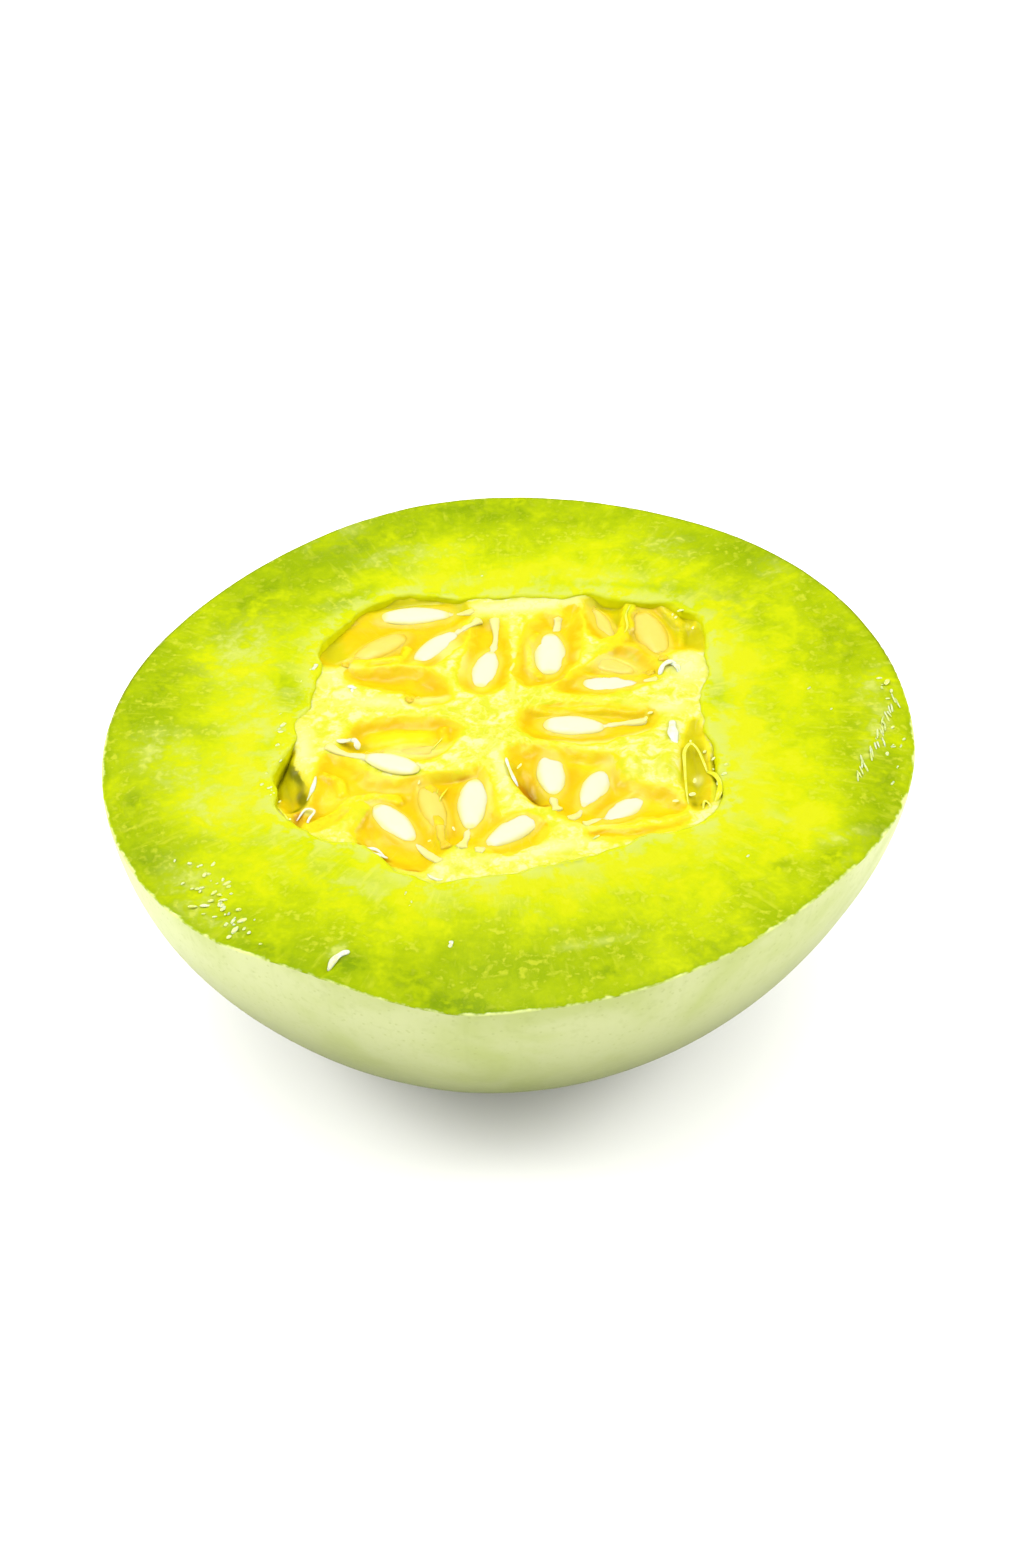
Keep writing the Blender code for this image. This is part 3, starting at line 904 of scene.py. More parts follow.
@dataclass
class MelonBody:
    """The flesh with its rind: one thick bowl with a fine cut face."""

    steps: int = 480
    cavity_rings: int = 20
    lip_rings: int = 4
    face_rings: int = 96
    rim_rings: int = 4
    rind_rings: int = 70
    lip_round: float = 0.00045
    rim_round: float = 0.00025
    lip_zone: float = 0.008
    rim_zone: float = 0.01
    rind_inset: float = 0.00007
    face_drop: float = 0.00002
    swell_depth: float = 0.07 * MM
    torn_depth: float = 0.30 * MM
    rib_depth: float = 0.22 * MM
    rib_reach: float = 2.2 * MM
    rib_turns: float = 4.2
    nick_depth: float = 0.6 * MM
    nick: Patch = Patch(-20.4, -43.2, 1.6, 0.5, 62)
    rag_depth: float = 0.55 * MM
    dent_depth: float = 0.15 * MM
    clouds: tuple = rows_of(
        Patch,
        (-35, 18, 7, 5, 60, 0.75), (-24, 42, 6, 3, 30, 0.6), (-15, 37, 9, 3, 10, 0.52),
        (-31, 3, 6, 8, 0, 0.6), (-44, -2, 4, 5, 0, 0.6), (-37, -12, 8, 5, -50, 0.6),
        (-38, -26, 6, 3.5, -58, 0.6), (-34, -33, 5, 2.5, -50, 0.5), (-18, -29, 7, 2, -20, 0.6),
        (46.5, 7, 3.5, 1.6, 62, 0.8), (45.5, -5, 8, 1.1, 70, 0.5), (41, -23, 4.5, 1.4, 20, 0.6),
        (14, -27, 10, 2, 12, 0.2), (29, 4, 10, 2.5, 85, 0.52), (28, -14, 7, 2, 70, 0.45),
        (12, 30, 12, 2.5, -15, 0.45), (-8, 29.5, 10, 2, 5, 0.35), (22, 37, 5, 4, -30, 0.45),
        (36, 30, 4, 3, -50, 0.45), (4, -35, 3, 1, -40, 0.68), (10, -39, 6, 1, 10, 0.52),
        (34, -20, 6, 1, -35, 0.45), (46, -2, 6, 2, 80, 0.52), (41, -27, 3, 1, 40, 0.45),
        (-19.6, -40.5, 1.6, 0.9, 60, 1.2),
    )
    # Greener tones of the flesh, and painted shade beside the cavity where the flesh bends down into it
    # (the rows by the cavity's left, right and far edge)
    greener_tones_and_cavity_shade: tuple = rows_of(
        Patch,
        (-26, 33, 11, 8, 40, 1.3), (-2, 45, 15, 4, 0, 0.7), (28, 35, 9, 5, -45, 0.8),
        (-46, 4, 4, 10, 0, 0.7), (41, 15, 5, 7, 30, 0.4), (44, -18, 4, 8, -25, 0.8),
        (-2, -42, 15, 7, 0, 0.9), (-26, -37, 10, 5, -35, 0.6), (-6, -33, 3, 4, 0, 0.5),
        (-42, -22, 5, 8, 20, 0.3), (14, -38, 8, 4, 20, 0.15), (30, -14, 10, 13, 20, -0.7),
        (27, 6, 5, 10, 0, -0.5), (0, 31, 22, 3, 0, -0.5), (-31, -2, 6, 12, 0, -0.5),
        (4, -29, 14, 3, 8, -0.5), (-28.2, 9.2, 2.2, 4, 15, 1.6), (-30, -4, 2, 4, 0, 1),
        (26.8, 4.6, 1.8, 3.4, 0, 1.3), (-21, 27.6, 5, 1.5, 38, 1.1), (14, 28.6, 8, 0.9, -10, 0.9),
        (24, 24, 2.4, 4.5, 20, 0.8),
    )
    darks: tuple = rows_of(
        Patch,
        (-20, 40, 11, 4, 25, 0.8), (-33, 28, 8, 4, 48, 0.8), (7.6, -25.6, 3.2, 0.5, 14, 0.7),
        (-5, 47, 9, 3, 0, 0.8), (1.5, 48.6, 1.6, 1, 0, 1.2), (-45, 11, 3, 2, 70, 1.1),
        (-48, 4, 1.5, 2, 0, 1), (-40, 14, 3, 3, 0, 0.5), (9, 44, 8, 3, -10, 0.5),
        (34, 34, 5, 2.5, -45, 0.7), (30, 24, 7, 5, -40, 0.5), (43, 14, 7, 3, -70, 0.6),
        (46, -12, 5, 2, 75, 0.9), (44, -22, 4, 2, 50, 0.8), (38.5, -27, 1.8, 1.2, 40, 1.4),
        (32, -28, 1.6, 1, 30, 1), (24, -41, 6, 2, 25, 0.7), (12, -43.5, 1.3, 1.2, 0, 1.3),
        (17, -46, 3, 1, 20, 0.8), (-18.3, -42.5, 1.5, 1.3, 0, 1.6), (-12, -44, 6, 2, -25, 1.1),
        (-6, -48, 4, 1.5, -10, 1.6), (-2, -50, 3, 1, 0, 1.6), (0, -42, 9, 4, 0, 0.2),
        (-43, -22, 3, 2, -60, 0.7), (-46, -12, 2.5, 3, 0, 0.8), (-34, -31, 2, 1, -50, 0.5),
        (-27, -40, 4, 1.2, -35, 1.1), (-38, -35, 2, 1.2, -45, 0.4),
    )

    def profile(self) -> tuple[Array, Array, Array]:
        """The ideal outline from the cavity's floor over the cut to the bottom.

        Returns:
            Radii, heights and zones, which run from -1 to 0 up the cavity's wall, from 0 to 1 over
            the cut, and from 1 to 2 down the rind.
        """
        first = math.asin(self.lip_round / FRUIT.cavity_depth)
        turn = np.linspace(math.pi / 2, first, self.cavity_rings + 1)[1:]
        depth = FRUIT.cavity_depth * np.sin(turn)
        wall = FRUIT.bowl_radius(depth, FRUIT.mouth_radius, FRUIT.cavity_depth)
        cavity = (wall, -depth, -depth / FRUIT.cavity_depth)
        lip = FRUIT.mouth_radius + self.lip_round
        turn = np.linspace(0.0, math.pi / 2, self.lip_rings + 2)[1:-1]
        drop = np.sin(turn) - 1.0
        arc = (lip - self.lip_round * np.cos(turn), self.lip_round * drop, self.lip_zone * drop)
        share = np.linspace(0.0, 1.0, self.face_rings)
        edge = FRUIT.cut_radius - self.rind_inset - self.rim_round
        face = (lip + (edge - lip) * share, np.zeros_like(share), share * (1.0 - self.rim_zone))
        turn = np.linspace(0.0, math.pi / 2, self.rim_rings + 2)[1:-1]
        rim = (
            edge + self.rim_round * np.sin(turn),
            -self.rim_round * (1.0 - np.cos(turn)),
            1.0 - self.rim_zone * (1.0 - np.sin(turn)),
        )
        first = math.asin(self.rim_round / FRUIT.rind_depth)
        spread = np.linspace(first, math.pi / 2, self.rind_rings + 1)[:-1]
        depth = FRUIT.rind_depth * np.sin(spread)
        rind = (FRUIT.rind_radius(depth) - self.rind_inset, -depth, 1.0 + depth / FRUIT.rind_depth)
        return tuple(np.concatenate(group) for group in zip(cavity, arc, face, rim, rind))

    def relief(self, x: Array, y: Array, zone: Array) -> Array:
        """Finds how far the fine surface lies below the plain cut: swells, torn flesh, ribs, a nick.

        Args:
            x: Places to the right.
            y: Places away from the viewer.
            zone: The zone of each place, as profile gives it.

        Returns:
            The drop in metres at each place.
        """
        flat = np.stack([x, y, np.zeros_like(x)], -1)
        drop = self.face_drop + self.swell_depth * (1.0 + grain(flat, 6 * MM, 1.0))
        left, right = FRUIT.facet_reach(x, y, 0), FRUIT.facet_reach(x, y, 1)
        drop += self.torn_depth * ease(-1 * MM, 1 * MM, left) * np.abs(grain(flat, 1.8 * MM, 2.0))
        ribs = 0.5 + 0.5 * np.sin(y / MM * self.rib_turns + 1.5 * grain(flat, 4 * MM, 3.0))
        along_line = np.exp(-((right / self.rib_reach) ** 2)) * ease(-20 * MM, -12 * MM, y)
        drop += self.rib_depth * ribs * along_line
        drop += self.nick_depth * np.clip(patched(x, y, (self.nick,)), 0.0, 1.0)
        return drop * ease(1.06, 1.0, zone) * ease(-self.lip_zone, 0.0, zone)

    def made(self, flesh: bpy.types.Material, rind: bpy.types.Material) -> bpy.types.Object:
        """Builds the body.

        Args:
            flesh: The flesh's finish.
            rind: The rind's finish.

        Returns:
            The piece, which stands for the solid flesh_with_rind.
        """
        radius, height, zone = self.profile()
        turn = np.linspace(0.0, 2 * math.pi, self.steps, endpoint=False)
        heights, zones = (np.repeat(column[:, None], self.steps, 1) for column in (height, zone))
        ideal = np.stack([radius[:, None] * np.cos(turn), radius[:, None] * np.sin(turn), heights], -1)
        rows = FRUIT.grown(ideal)
        ragged = 0.5 + 0.35 * grain(rows, 1.3 * MM, 4.0) + 0.5 * grain(rows, 4 * MM, 9.0, 2)
        by_mouth = np.exp(-((zones / 0.06) ** 2))
        pushed = 1.0 + by_mouth * ragged * self.rag_depth / np.maximum(radius, 1 * MM)[:, None]
        dent = ease(1.0, 1.15, zones) * (0.5 + 0.5 * grain(rows, 16 * MM, 5.0, 2)) * self.dent_depth
        pushed = pushed - dent / np.maximum(radius, 5 * MM)[:, None]
        rows[..., :2] *= pushed[..., None]
        rows[..., 2] -= self.relief(rows[..., 0], rows[..., 1], zones)
        rows[..., 2] = np.maximum(rows[..., 2], 0.0)
        floor = np.array([0.0, 0.0, FRUIT.rest_height - FRUIT.cavity_depth])
        foot = np.array([-FRUIT.bottom_lean, 0.0, 0.0])
        body = ring_surface(rows[:, ::-1], floor, foot)
        x, y = rows[:, ::-1, 0], rows[:, ::-1, 1]
        zones = zones[:, ::-1]
        bearing = np.degrees(np.arctan2(y, x)) % 360.0
        # Painted shade: a dark line round the far rim, on the bearings away from the viewer
        behind = ease(2, 16, bearing) * ease(184, 168, bearing)
        line = behind * ease(0.980, 0.988, zones) * ease(1.035, 1.015, zones)
        body.values = {
            "zone": with_poles(zones, -1.0, 2.0),
            "cloud": with_poles(patched(x, y, self.clouds), 0.0, 0.0),
            "dark": with_poles(patched(x, y, self.darks), 0.0, 0.0),
            "green": with_poles(patched(x, y, self.greener_tones_and_cavity_shade), 0.0, 0.0),
            "far_rim_shade": with_poles(0.8 * line, 0.0, 0.0),
        }
        ring_of_face = np.repeat(np.arange(len(radius) - 1), self.steps)
        first_rind = int(np.argmax(zone >= 1.0))
        finish = np.concatenate([ring_of_face >= first_rind - 1, np.zeros(self.steps), np.ones(self.steps)])
        body.finish_of_face = finish
        piece = body.made("melon_flesh_and_rind", (flesh, rind), "flesh")
        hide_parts("flesh_with_rind")
        return piece


class Pocket(NamedTuple):
    """A pocket of gel in the core, in millimetres: its depth, and its outline's points."""

    depth: float
    points: tuple[tuple[float, float], ...]


class Strand(NamedTuple):
    """A pale strand or ridge over the gel, in millimetres: half its width, its height, its points."""

    half_width: float
    height: float
    points: tuple[tuple[float, float], ...]


class Seed(NamedTuple):
    """A seed, in millimetres and degrees: its middle, where its point looks, length and stalk root."""

    x: float
    y: float
    heading: float
    length: float
    root: tuple[float, float]
    kind: SeedKind = SeedKind.WHITE
    lift: float = 0.0
    plump: float = 0.43


SEEDS = (
    Seed(-12.0, 24.5, 0, 9.4, (-4.6, 24.3), plump=0.38),
    Seed(-16.6, 17.9, -143, 8.4, (-21.0, 13.9), SeedKind.IN_GEL, 0.0, 0.42),
    Seed(-9.1, 17.7, 50, 8.2, (-3.6, 22.5), plump=0.40),
    Seed(-2.7, 12.6, 79, 7.6, (-1.5, 22.7), plump=0.46),
    Seed(5.7, 15.5, 88, 8.6, (6.9, 22.5), plump=0.48),
    Seed(12.7, 21.6, 112, 7.4, (11.4, 25.5), SeedKind.IN_GEL, -0.1, 0.30),
    Seed(19.0, 18.9, -74, 10.2, (20.4, 12.5), SeedKind.IN_GEL, 0.0, 0.40),
    Seed(13.2, 12.6, -25, 8.0, (18.8, 10.3), SeedKind.IN_GEL, -0.3, 0.36),
    Seed(13.4, 8.7, -3, 7.6, (19.2, 8.7), plump=0.46),
    Seed(8.6, 0.7, -8, 8.0, (17.6, 1.1), plump=0.46),
    Seed(5.6, -8.6, -84, 7.6, (6.2, -15.5), plump=0.46),
    Seed(10.8, -11.5, -112, 7.4, (7.8, -17.3), plump=0.44),
    Seed(14.2, -15.6, -140, 6.6, (9.6, -18.5), plump=0.46),
    Seed(-4.1, -13.7, -94, 9.2, (-5.4, -21.9), SeedKind.WHITE, 0.1, 0.40),
    Seed(0.7, -18.9, -140, 8.2, (-3.4, -22.7), plump=0.42),
    Seed(-13.6, -16.7, -54, 8.4, (-8.0, -24.5), plump=0.40),
    Seed(-14.3, -6.3, 155, 7.6, (-22.4, -2.3), SeedKind.WHITE, 0.1, 0.42),
    Seed(-12.0, -3.3, -174, 8.4, (-17.6, -3.7), SeedKind.IN_GEL, -0.25, 0.26),
    Seed(-9.6, 6.7, 178, 3.6, (-12.6, 6.1), SeedKind.IN_GEL, -0.35, 0.40),
    Seed(-9.0, -14.3, -74, 9.0, (-7.2, -21.7), SeedKind.IN_GEL, -0.40, 0.34),
)


def away_from_seed(x: Array, y: Array, seed: Seed) -> Array:
    """Measures about how far places lie outside a seed's outline.

    Args:
        x: Places to the right, in millimetres.
        y: Places away from the viewer, in millimetres.
        seed: The seed.

    Returns:
        The distance in millimetres, which is negative under the seed.
    """
    heading = math.radians(seed.heading)
    right, away = x - seed.x, y - seed.y
    along = (right * math.cos(heading) + away * math.sin(heading)) / (0.5 * seed.length)
    across = (away * math.cos(heading) - right * math.sin(heading)) / (0.5 * seed.length * seed.plump)
    return (np.hypot(along, across) - 1.0) * 0.5 * seed.length * seed.plump


class CoreShares(NamedTuple):
    """What lies at each place of the core's top."""

    gel: Array
    depth: Array
    within: Array
    outside: Array


@dataclass
class SeedCore:
    """The fibrous core, whose gel pockets lie open in the cut."""

    steps: int = 540
    top_rings: int = 130
    side_rings: int = 12
    overlap: float = 0.0007
    loose_gap: float = 0.0001
    loose: tuple = ((195.0, 1.0, 10.0), (-20.0, 0.8, 9.0))
    top_drop: float = 0.00015
    pocket_spread: float = 0.25
    pocket_depth: float = 0.72
    crack_depth: float = 0.0010
    crack_width: float = 0.0005
    vein_depth: float = 0.08 * MM
    uneven_depth: float = 0.30 * MM
    wave_depth: float = 0.10 * MM
    gel_climb: float = 0.22 * MM
    halo_reach: float = 0.45
    side_from: float = 3.5 * MM
    side_step: float = 0.2 * MM
    edge_waver: float = 0.35
    fade_inside: float = 3.5
    fade_outside: float = 2.0
    pockets: tuple = (
        Pocket(
            1.1, (
                (-22.3, 14), (-25, 15.4), (-25.4, 18.6), (-23.4, 22.2), (-20.4, 25.2), (-17.4, 27.4),
                (-12.5, 27.4), (-8, 27), (-5.4, 25.8), (-4.9, 23.4), (-6.2, 21.8), (-5, 20.4), (-5.8, 18),
                (-7.6, 15.2), (-9.4, 13.5), (-11.6, 13.7), (-14.5, 14.1), (-17.5, 13.9), (-20.4, 14.7),
            ),
        ),
        Pocket(
            1.2, (
                (-20.6, 13), (-18, 12.9), (-15, 13.3), (-12, 13.1), (-10.4, 12.6), (-9.2, 11.2), (-8, 9.6),
                (-7.3, 7.8), (-7.5, 6.2), (-9, 5.4), (-11, 5.4), (-12.3, 6), (-12.8, 7.4), (-14.8, 8.3),
                (-17, 9.2), (-19.2, 10.2), (-20.4, 11.4),
            ),
        ),
        Pocket(
            1.3, (
                (-19.4, 1), (-18, 2.1), (-15.5, 2.5), (-12, 2.7), (-9, 2.4), (-7, 1.6), (-6, 0),
                (-6.2, -1.6), (-7.6, -3.4), (-9.6, -5.2), (-12, -4.8), (-15, -4), (-18, -4.2),
                (-20.4, -2.8), (-20.2, -0.6),
            ),
        ),
        Pocket(
            1, (
                (-22.4, -3.6), (-20.4, -4.4), (-18.6, -6.4), (-16.4, -8.6), (-13.5, -9.4), (-10, -8.7),
                (-7.6, -8.4), (-5.4, -8.6), (-3.6, -7.4), (-2.5, -9), (-1.8, -11.2), (-1.6, -14.2),
                (-0.8, -16.6), (1.5, -16.2), (3.7, -16.8), (4.7, -18.4), (4.4, -20.6), (2.8, -22.2),
                (0, -23.2), (-2.6, -22.8), (-4.4, -21.6), (-6, -21.2), (-7.2, -22.2), (-8.6, -23.8),
                (-9.8, -25.4), (-12, -25.4), (-14.6, -24), (-16.8, -22.2), (-18.2, -19.4), (-18.6, -16.8),
                (-18, -15), (-19.6, -15.4), (-21.6, -16.8), (-23.4, -17.6), (-24.4, -15.8), (-24.4, -12.8),
                (-23.9, -9.6), (-23.3, -6.2),
            ),
        ),
        Pocket(
            1.1, (
                (-4.4, 21), (-4.5, 17.8), (-5.6, 13.8), (-6.1, 11), (-5.2, 8.4), (-3, 7), (-0.9, 8.2),
                (0.2, 10.6), (0.5, 13.8), (0.2, 18), (-0.4, 21.4), (-1.6, 22.6), (-3.2, 22.4),
            ),
        ),
        Pocket(
            1.2, (
                (1.3, 12.8), (1.5, 10.1), (3.2, 8.5), (5.6, 8.6), (7.4, 10.2), (8.8, 12.8), (9.5, 15.8),
                (9.7, 19.3), (9.8, 22.8), (9.3, 24.8), (7.7, 24.2), (7.4, 22.6), (5.2, 23.4), (4.2, 22),
                (2.9, 21.1), (2.2, 18.2), (1.7, 15.4),
            ),
        ),
        Pocket(
            1.3, (
                (10.5, 24.4), (10.7, 20.8), (11.5, 18.4), (13, 17.2), (14.4, 16.2), (16.5, 16.2),
                (18.2, 13.6), (19.8, 12.7), (21.4, 14.4), (24.6, 15), (25.4, 15.8), (25.2, 18.8),
                (23.6, 22.4), (20.8, 24.4), (18, 25.4), (15, 26.2), (11.2, 26.4),
            ),
        ),
        Pocket(
            1.2, (
                (6.4, 7.4), (7.8, 6.9), (10.2, 6.4), (14, 6.4), (16.6, 7.6), (18.8, 9), (19.6, 10.8),
                (18.8, 12.8), (17.4, 15.2), (15.6, 16), (13.6, 15.6), (12.3, 14.2), (10.6, 12.2), (9, 10.6),
                (7.2, 9.2),
            ),
        ),
        Pocket(
            1.2, (
                (1.8, 2), (2.7, 3.6), (6, 4.4), (11, 4.2), (16, 3.4), (18.6, 2.2), (18.9, 0.8), (18, -1.2),
                (15, -2.5), (11, -3.3), (6.2, -2.6), (3.2, -1.2), (1.9, 0.3),
            ),
        ),
        Pocket(
            1.2, (
                (0.7, -3.8), (3.2, -3.4), (6, -4.2), (9.6, -5), (12.4, -5.8), (13.6, -7.4), (14.2, -10.2),
                (16, -11.8), (18.8, -12.6), (20.8, -14), (21.8, -15.6), (20.6, -17.2), (17, -18),
                (13, -18.7), (10.4, -18.6), (8.4, -17.8), (6.6, -16.6), (5.6, -14.8), (3.6, -14),
                (2, -11.6), (0.9, -9), (0.3, -6.2),
            ),
        ),
        Pocket(0.9, ((10, -19.8), (14, -20.1), (19, -19.4), (22, -18), (20, -20), (15, -21.2), (11, -21))),
        Pocket(
            1.3, (
                (22.9, -1.6), (23.9, 0.2), (24.4, -3.2), (24.7, -7.2), (24.9, -11.2), (24.4, -15.2),
                (23, -16.4), (22.2, -14.2), (22, -9.2), (22.2, -5.2),
            ),
        ),
        Pocket(
            2.3, (
                (-27, -2.6), (-26.7, -5.2), (-25.7, -7.8), (-24.8, -10.2), (-24.5, -12.4), (-25.4, -13.8),
                (-27, -14.2), (-28.6, -11.2), (-29.4, -7.7), (-29, -4.2),
            ),
        ),
        Pocket(
            1.2, (
                (-26.6, -14.6), (-25.2, -14.4), (-24.6, -16.2), (-24.8, -18.6), (-26, -18.8),
                (-26.8, -16.8),
            ),
        ),
    )
    strands: tuple = (
        Strand(0.25, 0.6, ((-14.4, 13.8), (-13.3, 15.4), (-13, 17.4))),
        Strand(0.25, 0.9, ((-19.6, 14.3), (-16.6, 14.8), (-14, 15.4))),
        Strand(0.45, 0.9, ((12.6, 16.6), (14.6, 18), (16, 20.2), (15.9, 22.8), (16.5, 25.8))),
        Strand(0.2, 0.5, ((19.8, 25.2), (21.6, 22.8), (22.6, 21.2), (24.8, 19.8))),
        Strand(0.16, 0.4, ((22.4, 24.8), (22.2, 22.4), (23.2, 19.4), (22.8, 16.8))),
        Strand(0.3, 0.7, ((10.2, 13.4), (12, 14.4), (14.4, 16.4), (15.6, 18.4))),
        Strand(0.3, 0.5, ((-9.4, -10.6), (-9.2, -13.2), (-8.4, -16.8), (-7.6, -21.6))),
        Strand(0.5, 0.6, ((-24, -17.2), (-21.2, -15.4), (-18.8, -12.6), (-16, -11.6), (-13.6, -12.4))),
        Strand(0.8, 0.7, ((-19.6, -19.2), (-18.8, -16.6), (-17.8, -14.2))),
        Strand(0.25, 0.5, ((-22.6, -7.8), (-20.8, -9), (-20, -11.2))),
        Strand(0.2, 0.4, ((8, 9.7), (9.6, 10.7), (11.8, 10.2), (15.6, 9.6), (19, 9.8))),
        Strand(0.3, 0.5, ((14, -3.2), (13.6, -6.8), (14.4, -10.6))),
        Strand(0.25, 0.5, ((10.4, -19.4), (14, -19.2), (18, -18.6), (21.8, -16.6))),
        Strand(0.25, 0.4, ((11.4, -21.6), (15, -21.4), (19.6, -20.2), (22, -18.6))),
        Strand(0.2, 0.4, ((3.2, 3.8), (7, 3.4), (12, 3.4), (17, 2.6))),
        Strand(0.2, 0.4, ((-8, 0.6), (-7.8, -1.6), (-9, -3.2))),
        Strand(0.25, 0.5, ((4.4, 10.8), (3, 12.8), (2.9, 16.8), (4, 19.4))),
    )
    swellings: tuple = rows_of(
        Patch,
        (-12.8, -0.8, 4.2, 1.7, 4, 0.75), (16, -6.8, 2, 3.8, -8, 0.9), (19.8, -8, 1.4, 3.2, -8, 0.9),
        (-16.2, 7.2, 4.2, 1.3, -20, 0.35), (-9.6, 6.3, 2.2, 0.9, 5, 0.5), (-20.8, -9.7, 3.4, 3.6, 0, 0.5),
        (-7, 15, 2.2, 4, 15, 0.25), (15.4, -20.2, 4, 0.7, 8, 0.3), (-7.6, -25.2, 1.3, 1.2, 0, 0.4),
        (-26.2, 1.8, 1.6, 3, 0, 0.3), (23.4, 11.4, 1.8, 2, 0, 0.5),
    )
    hollows: tuple = rows_of(
        Patch,
        (24, 19.3, 1.8, 4.5, 20, 0.6), (-13.5, 27, 5, 1, 5, 0.4), (13.4, 25.4, 2.6, 1.2, -5, 0.5),
        (3.2, -11.8, 1, 3, 30, 1.3), (-23, 17.8, 1.4, 3, 20, 0.3), (-6.5, -9.1, 3, 0.8, 5, 0.5),
        (-16.2, -21.6, 3.6, 0.8, -52, 0.5),
    )
    spots: tuple = (
        (
            "sunny",
            rows_of(
                Patch,
                (-13, -0.9, 4.6, 1.9, 4, 1.3), (-20.8, -11.7, 3, 3, 0, 0.7),
                (-16.2, 7.2, 4.4, 1.4, -20, 0.9), (-6, 12.8, 1, 3, 10, 0.6), (8.5, 22.8, 1, 2, 0, 0.7),
                (10, -7.2, 4, 1.4, -20, 0.6), (10, 3.8, 6, 0.7, -2, 0.6), (18, -15, 3, 1.2, -20, 0.6),
                (-3, 8.4, 2, 1, 0, 0.6),
            ),
        ),
        # Orange gel, and painted shade along pocket edges under the tissue
        (
            "orange_gel_and_edge_shade",
            rows_of(
                Patch,
                (-15.5, 11.6, 5, 1.2, -8, 0.9), (-9.6, 9.4, 1.6, 2, 30, 0.8), (-13, 1.8, 6, 0.7, 2, 1),
                (-8, 0.2, 1.4, 1.6, 0, 0.8), (-18.6, 0.2, 1, 1, 0, 0.7), (-22.3, -7.8, 1, 3, 10, 0.9),
                (-23.4, -14.6, 1, 2.6, 0, 0.9), (-21, -15.6, 2.4, 0.8, -20, 0.6),
                (-10.8, -12.2, 3, 2.4, 0, 0.6), (-11.4, -19.2, 1.5, 3, 30, 0.8),
                (-7.2, -11.2, 1.4, 3, 0, 0.9), (-6.6, -18.8, 0.8, 2.6, 0, 0.9),
                (-16.8, -17.2, 1, 2.6, 10, 0.9), (-12.8, -24.6, 2.6, 0.8, -16, 0.9),
                (3.4, -5.4, 2.4, 1.3, -15, 1), (2.8, -9.2, 0.9, 2.4, 20, 1), (8.2, -9, 0.8, 3.6, -10, 0.9),
                (7.6, -14.2, 1, 2, 0, 0.8), (12, -14.8, 0.9, 2.6, -40, 0.9), (5, 9.4, 2.6, 0.7, 5, 1),
                (2.1, 12.8, 0.6, 3, 0, 0.8), (8.4, 13.8, 0.7, 3, 10, 0.9), (8.6, 18.8, 0.7, 3.4, 0, 0.7),
                (8.4, 7.6, 1.6, 1, 10, 1), (11.4, 10.8, 0.8, 1.6, 0, 0.8), (15, 15.2, 2.6, 0.8, -8, 0.9),
                (17, 13.4, 1, 2.2, 30, 0.8), (2.8, 2, 0.8, 1.8, 0, 1), (5, -1.8, 2.6, 0.7, -20, 0.8),
                (12, -2.4, 4, 0.7, -4, 0.8), (-6, 18.8, 0.6, 2.2, 10, 0.7), (-9.8, 14.6, 1.8, 0.8, 20, 0.9),
                (-12.6, 19.8, 0.8, 2, 0, 0.7), (-17, 15, 2.4, 0.5, 8, 1), (-4.6, 9.4, 0.8, 1.4, 20, 0.8),
                (-0.6, 10.4, 0.7, 2, 0, 0.8), (11.6, 19.4, 0.5, 2.2, 20, 0.9), (17, 18.4, 0.5, 3, 20, 0.9),
                (11, -20.1, 1.6, 0.6, 0, 0.9), (17.8, -19.9, 2.4, 0.5, 8, 0.7),
            ),
        ),
        # Brown specks, and painted shade in creases beside the hollows
        (
            "brown_specks_and_crease_shade",
            rows_of(
                Patch,
                (2.6, -11.6, 2.8, 0.8, -60, 1.2), (4.6, -14.3, 0.9, 0.5, -20, 1),
                (-16.9, -21.6, 2.4, 0.35, -52, 1.2), (-14.9, -23.1, 1.4, 0.35, -20, 1),
                (-25.3, -15.1, 0.8, 1.6, 0, 1), (-5.6, -8.8, 1.6, 0.35, 8, 0.7),
                (-10.9, -25.8, 1.8, 0.4, -12, 0.8), (-24.5, -17.7, 0.9, 0.25, 70, 1.4),
                (-15.6, 6.7, 0.45, 0.25, -35, 2.2),
            ),
        ),
        # Painted shade where the flesh wall and gaps show down in the cavity
        (
            "olive_shade",
            rows_of(
                Patch,
                (-13.5, 27.2, 7, 1.5, 4, 1.2), (-6, 25.4, 1.4, 1.8, 0, 1), (-23, 18.6, 2.2, 4.2, 24, 1.2),
                (24, 19.4, 2.2, 4.6, 18, 1.5), (22, 23.4, 1.4, 1.8, 0, 1.2), (13, 25.8, 3, 1.2, -6, 1.3),
                (14.6, 22.8, 0.9, 2.4, 0, 0.9), (18, 25.4, 2, 0.8, -10, 0.9),
                (23.2, -8.2, 1.6, 7.5, 0, 1.6), (24.4, 4.8, 0.8, 5, -6, 1), (-24.8, 7.8, 0.8, 5, 0, 1.2),
                (-27.4, -6.2, 2.4, 5, 16, 1.4), (16.4, 14.2, 0.7, 1.8, 30, 0.8),
            ),
        ),
        # Painted shade in the deepest gaps, holes and creases
        (
            "dark",
            rows_of(
                Patch,
                (-26.4, -6.8, 3.2, 0.6, -64, 1.3), (-25.2, -11.4, 1.6, 0.6, -70, 1.4),
                (-25.8, -13.2, 0.8, 0.6, 0, 1), (24.2, -15.4, 0.45, 0.45, 0, 2),
                (22.9, -15.2, 0.5, 0.8, 0, 0.7), (3.3, -12.4, 1.1, 0.35, -55, 0.9),
            ),
        ),
        (
            "pale",
